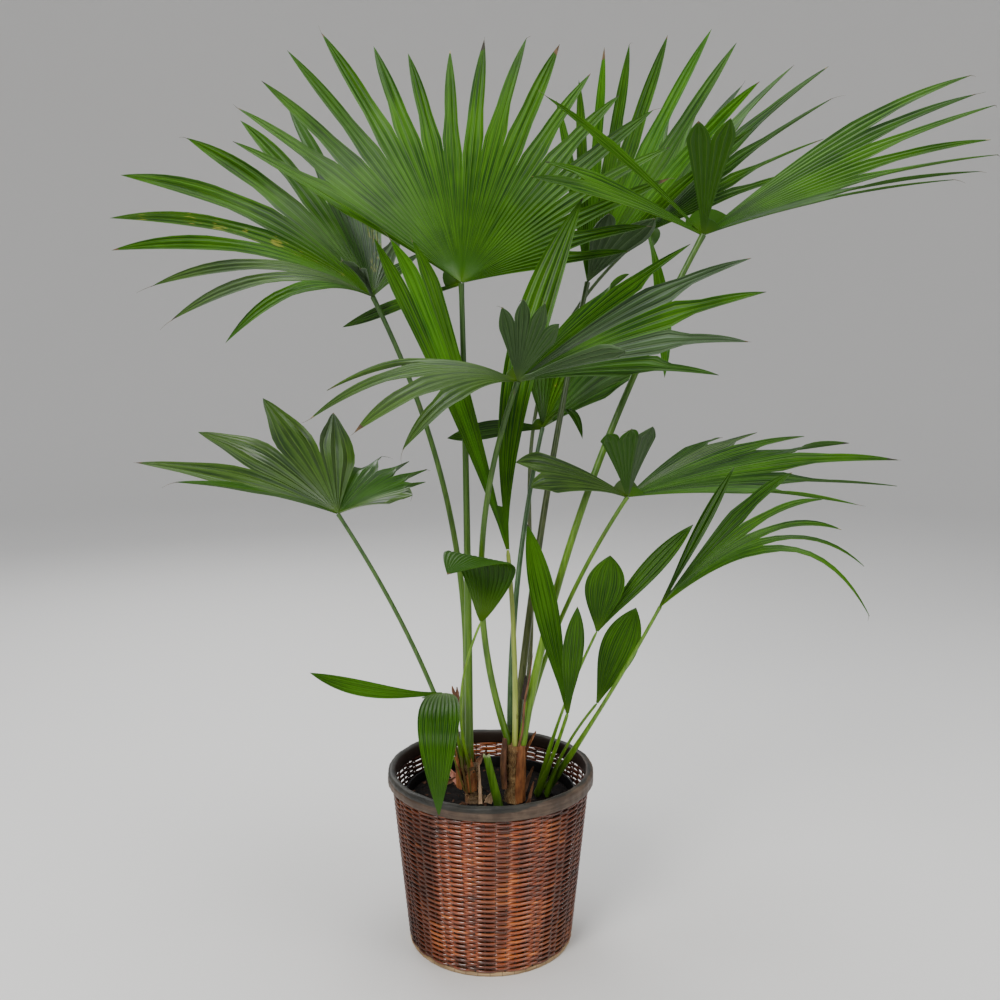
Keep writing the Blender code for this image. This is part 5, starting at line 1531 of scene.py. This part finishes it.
# dry sheaths round the clumps: clump, centre, turn and half width in degrees, bottom, top, radius, lift
sheaths = [("main", (0.0375, -0.019), -44, 44, 0.228, 0.361, 0.0158, 0.0012),
           ("main", (0.0375, -0.019), 12, 15, 0.288, 0.336, 0.0160, 0.017),
           ("main", (0.0375, -0.019), 178, 24, 0.256, 0.322, 0.0156, 0.002),
           ("main", (0.0375, -0.019), 130, 45, 0.256, 0.338, 0.0158, -0.001),
           ("left", (-0.036, -0.019), -150, 30, 0.250, 0.318, 0.0165, 0.004),
           ("left", (-0.036, -0.019), -60, 40, 0.246, 0.300, 0.0162, -0.003),
           ("left", (-0.036, -0.019), 60, 45, 0.246, 0.312, 0.0165, -0.002)]
for number, (clump, centre, turn, half, low, high, reach, lift) in enumerate(sheaths):
    grid = sheathGrid(centre, math.radians(turn), math.radians(half), low, high, reach, lift)
    piece = addPiece(f"sheath_{number}", plateMesh("sheath", grid, sheathLook["thick"]), sheathFinish)
    settle(piece, "fibre", "trunk_" + clump)

# loose pieces: finish, node, lower end, upper end, width, bend
chipLook = {"rows": 9, "offsets": (-1.0, -0.4, 0.3, 1.0), "point": 0.85, "least": 0.12, "ragged": 0.10,
            "cupped": 0.16, "thick": 0.0010}
chips = [("red", "potting_mix", (-0.046, 0.030, 0.226), (-0.078, 0.062, 0.252), 0.014, 0.004),
         ("tan", "potting_mix", (-0.0155, -0.034, 0.227), (-0.0175, -0.030, 0.288), 0.0055, 0.002),
         ("tan", "potting_mix", (-0.004, -0.032, 0.227), (0.002, -0.036, 0.246), 0.012, 0.001),
         ("brown", "potting_mix", (-0.036, 0.068, 0.226), (-0.008, 0.094, 0.262), 0.013, 0.005),
         ("brown", "potting_mix", (0.052, 0.012, 0.226), (0.068, 0.030, 0.262), 0.008, 0.003),
         ("tan", "potting_mix", (0.060, -0.062, 0.227), (0.086, -0.068, 0.234), 0.004, 0.001),
         ("brown", "potting_mix", (-0.080, 0.030, 0.226), (-0.050, 0.050, 0.236), 0.012, 0.003),
         ("brown", "potting_mix", (0.058, -0.036, 0.227), (0.066, -0.032, 0.262), 0.0055, 0.002),
         ("brown", "potting_mix", (0.053, -0.050, 0.227), (0.060, -0.056, 0.247), 0.0060, 0.001),
         ("brown", "potting_mix", (-0.046, -0.050, 0.227), (-0.036, -0.062, 0.240), 0.0120, 0.002),
         ("red", "potting_mix", (-0.012, -0.052, 0.227), (-0.030, -0.060, 0.232), 0.0080, 0.001),
         ("black", "dry_spike", (0.0505, -0.037, 0.394), (0.0535, -0.036, 0.432), 0.0085, 0.001),
         ("brown", "trunk_left", (-0.050, -0.030, 0.380), (-0.058, -0.033, 0.414), 0.0080, 0.001),
         ("brown", "trunk_left", (-0.049, -0.030, 0.378), (-0.0505, -0.032, 0.412), 0.0085, 0.000)]
for number, (kind, nodeName, low, high, width, bend) in enumerate(chips):
    low, high = np.array(low), np.array(high)
    way = high - low
    across = np.cross(way, (0.0, 1.0, 0.0))
    across = across / np.linalg.norm(across) * width / 2
    out = np.cross(across, way)
    out = out / np.linalg.norm(out)
    grid = []
    for row in range(chipLook["rows"]):
        share = row / (chipLook["rows"] - 1)
        narrow = (1.0 - share ** 2) * chipLook["point"] + chipLook["least"]
        narrow += chipLook["ragged"] * math.sin(row * 2.3 + number)
        middle = low + way * share + out * bend * math.sin(share * math.pi)
        cup = out * width * chipLook["cupped"]
        grid.append([middle + across * offset * narrow + cup * (1.0 - offset ** 2)
                     for offset in chipLook["offsets"]])
    mesh = plateMesh("loose", grid, chipLook["thick"])
    piece = addPiece(f"loose_{kind}_{number}", mesh, chipFinishes[kind])
    settle(piece, "fibre", nodeName)

# green stump, cut off ragged
stump = {"foot": (0.013, -0.039), "top": (-0.006, -0.041, 0.310), "radii": (0.0074, 0.0054), "rows": 26,
         "sides": 28, "sink": 0.003, "flat": 0.22, "flatPower": 1.5, "fluting": 0.03, "ragged": 0.0022,
         "cutBelow": 0.0025, "softAngle": 55, "dark": (0.065, 0.180, 0.006), "light": (0.150, 0.33, 0.022),
         "low": (0.018, 0.045, 0.004), "torn": (0.62, 0.58, 0.36)}


def stumpReach(share, turn):
    flat = 1.0 - stump["flat"] * abs(math.sin(turn)) ** stump["flatPower"]
    fluted = 1.0 + stump["fluting"] * math.sin(turn * 9.0 + share * 2.0)
    return between(stump["radii"], share) * flat * fluted


stumpEnds = (np.array([*stump["foot"], bedTop - stump["sink"]]),
             np.array(stump["top"]) - np.array([0.0, 0.0, stump["cutBelow"]]))
middles = [between(stumpEnds, share) for share in np.linspace(0.0, 1.0, stump["rows"])]
mesh = tubeMesh("stump", middles, stumpReach, stump["sides"], stump["ragged"])


def makeStumpFinish():
    finish = Finish("stump_green", 0.45)
    place = finish.place()
    height = finish.axes(place)[2]
    streaks = finish.streaks(place, (330.0, 330.0, 14.0))
    base = finish.ramp(streaks, 0.3, 0.7, stump["dark"], stump["light"])
    base = finish.blend(finish.ease(height, 0.232, 0.255, 0.75, 0.0), base, stump["low"])
    torn = finish.ease(height + streaks * 0.006, 0.3070, 0.3125, 0.0, 0.6)
    finish.feed("Base Color", finish.blend(torn, base, stump["torn"]))
    finish.feed("Roughness", streaks * 0.2 + 0.35)
    finish.bump(streaks, 0.4, 0.0006)
    return finish.material


stumpPiece = addPiece("stump_green", mesh, makeStumpFinish())
softFaces(mesh, stump["softAngle"])
settle(stumpPiece, "stalk", "cut_stalk")

# thin lines: dead spike with its twig, and strands beside the clumps
thinLook = {"steps": 24, "sides": 7, "softAngle": 50}
spikeFoot = clumpSeat("main", (0.0045, -0.016))
thinLines = [
    ("spike_dry", "dry_spike", [
        spikeFoot, spikeFoot + np.array([0.006, -0.004, 0.03]), (0.0520, -0.038, 0.392),
        (0.0585, -0.042, 0.430), (0.064, -0.046, 0.470)],
     (0.0019, 0.0018, 0.0017, 0.0013, 0.0003), chipFinishes["brown"]),
    ("strand_a", "trunk_left", [(-0.040, -0.036, 0.250), (-0.052, -0.040, 0.292), (-0.066, -0.042, 0.336)],
     (0.0016, 0.0014, 0.0006), stalkFinishes["green"]),
    ("strand_b", "trunk_left", [(-0.036, -0.037, 0.246), (-0.044, -0.039, 0.300), (-0.050, -0.038, 0.362)],
     (0.0018, 0.0015, 0.0007), stalkFinishes["brown"]),
    ("strand_c", "trunk_left", [(-0.030, -0.036, 0.246), (-0.034, -0.038, 0.285), (-0.040, -0.038, 0.330)],
     (0.0014, 0.0012, 0.0005), stalkFinishes["green"]),
    ("strand_d", "trunk_main", [(0.0215, -0.028, 0.250), (0.0195, -0.029, 0.290), (0.0225, -0.026, 0.330)],
     (0.0046, 0.0050, 0.0040), chipFinishes["brown"])]
for name, nodeName, places, sizes, skin in thinLines:
    shares = np.linspace(0.0, len(places) - 1.0, thinLook["steps"])
    knots = np.arange(len(places), dtype=float)
    points, radii = ([smoothRow(knots, np.array(rows), share) for share in shares]
                     for rows in (places, sizes))
    piece = stalkGrowth.run(name, lineMesh(name, points, radii), **{
        "Sides": thinLook["sides"], "Spine top": stalkLook["bareTop"], "Skin": skin})
    softFaces(piece.data, thinLook["softAngle"])
    settle(piece, "fibre", nodeName)

# torn threads on the tips of the segments
threadGrowth = Growth("threadGrowth", {"Sides": 4, "Skin": chipFinishes["black"]})
line = threadGrowth.node("GeometryNodeMeshToCurve", {}, {"Mesh": threadGrowth.host()})
tube = threadGrowth.tube(line, threadGrowth.circle(threadGrowth.size("Sides")),
                         Scale=threadGrowth.attribute("thick"), Fill_Caps=True)
threadGrowth.end(threadGrowth.painted(tube, threadGrowth.size("Skin")))

threadLook = {"share": 0.40, "length": (0.006, 0.030), "thick": 0.00045, "taper": 0.75, "steps": 7,
              "inside": 0.004, "curl": 0.35, "droop": (-1.2, 0.5), "seed": 900}
threadFinish = makeDryFinish("thread_dry", (0.012, 0.010, 0.008), (0.20, 0.16, 0.10), 0.8)
lowest, highest = (np.array(corner) for corner in cadBox)
for number, (leafName, frond) in enumerate(fronds.items()):
    chance = random.Random(threadLook["seed"] + number)
    points, edges, sizes = [], [], []
    for tip, way in frond.threads:
        if chance.random() > threadLook["share"]:
            continue
        way = way / np.linalg.norm(way)
        curl = np.array([chance.uniform(-1, 1), chance.uniform(-1, 1), chance.uniform(*threadLook["droop"])])
        curl = curl * threadLook["curl"]
        stride = chance.uniform(*threadLook["length"]) / threadLook["steps"]
        place = tip - way * threadLook["inside"]
        for step in range(threadLook["steps"] + 1):
            points.append(np.clip(place, lowest, highest))
            sizes.append(threadLook["thick"] * (1.0 - threadLook["taper"] * step / threadLook["steps"]))
            if step:
                edges.append((len(points) - 2, len(points) - 1))
            way = way + curl * threadLook["curl"]
            way = way / np.linalg.norm(way)
            place = place + way * stride
    if points:
        host = makeMesh("threads", points, edges=edges)
        addColumn(host, "thick", sizes)
        piece = threadGrowth.run("threads_" + leafName, host, Skin=threadFinish)
        settle(piece, "blade", "frond_" + leafName)
print("trunks, stumps and threads done")
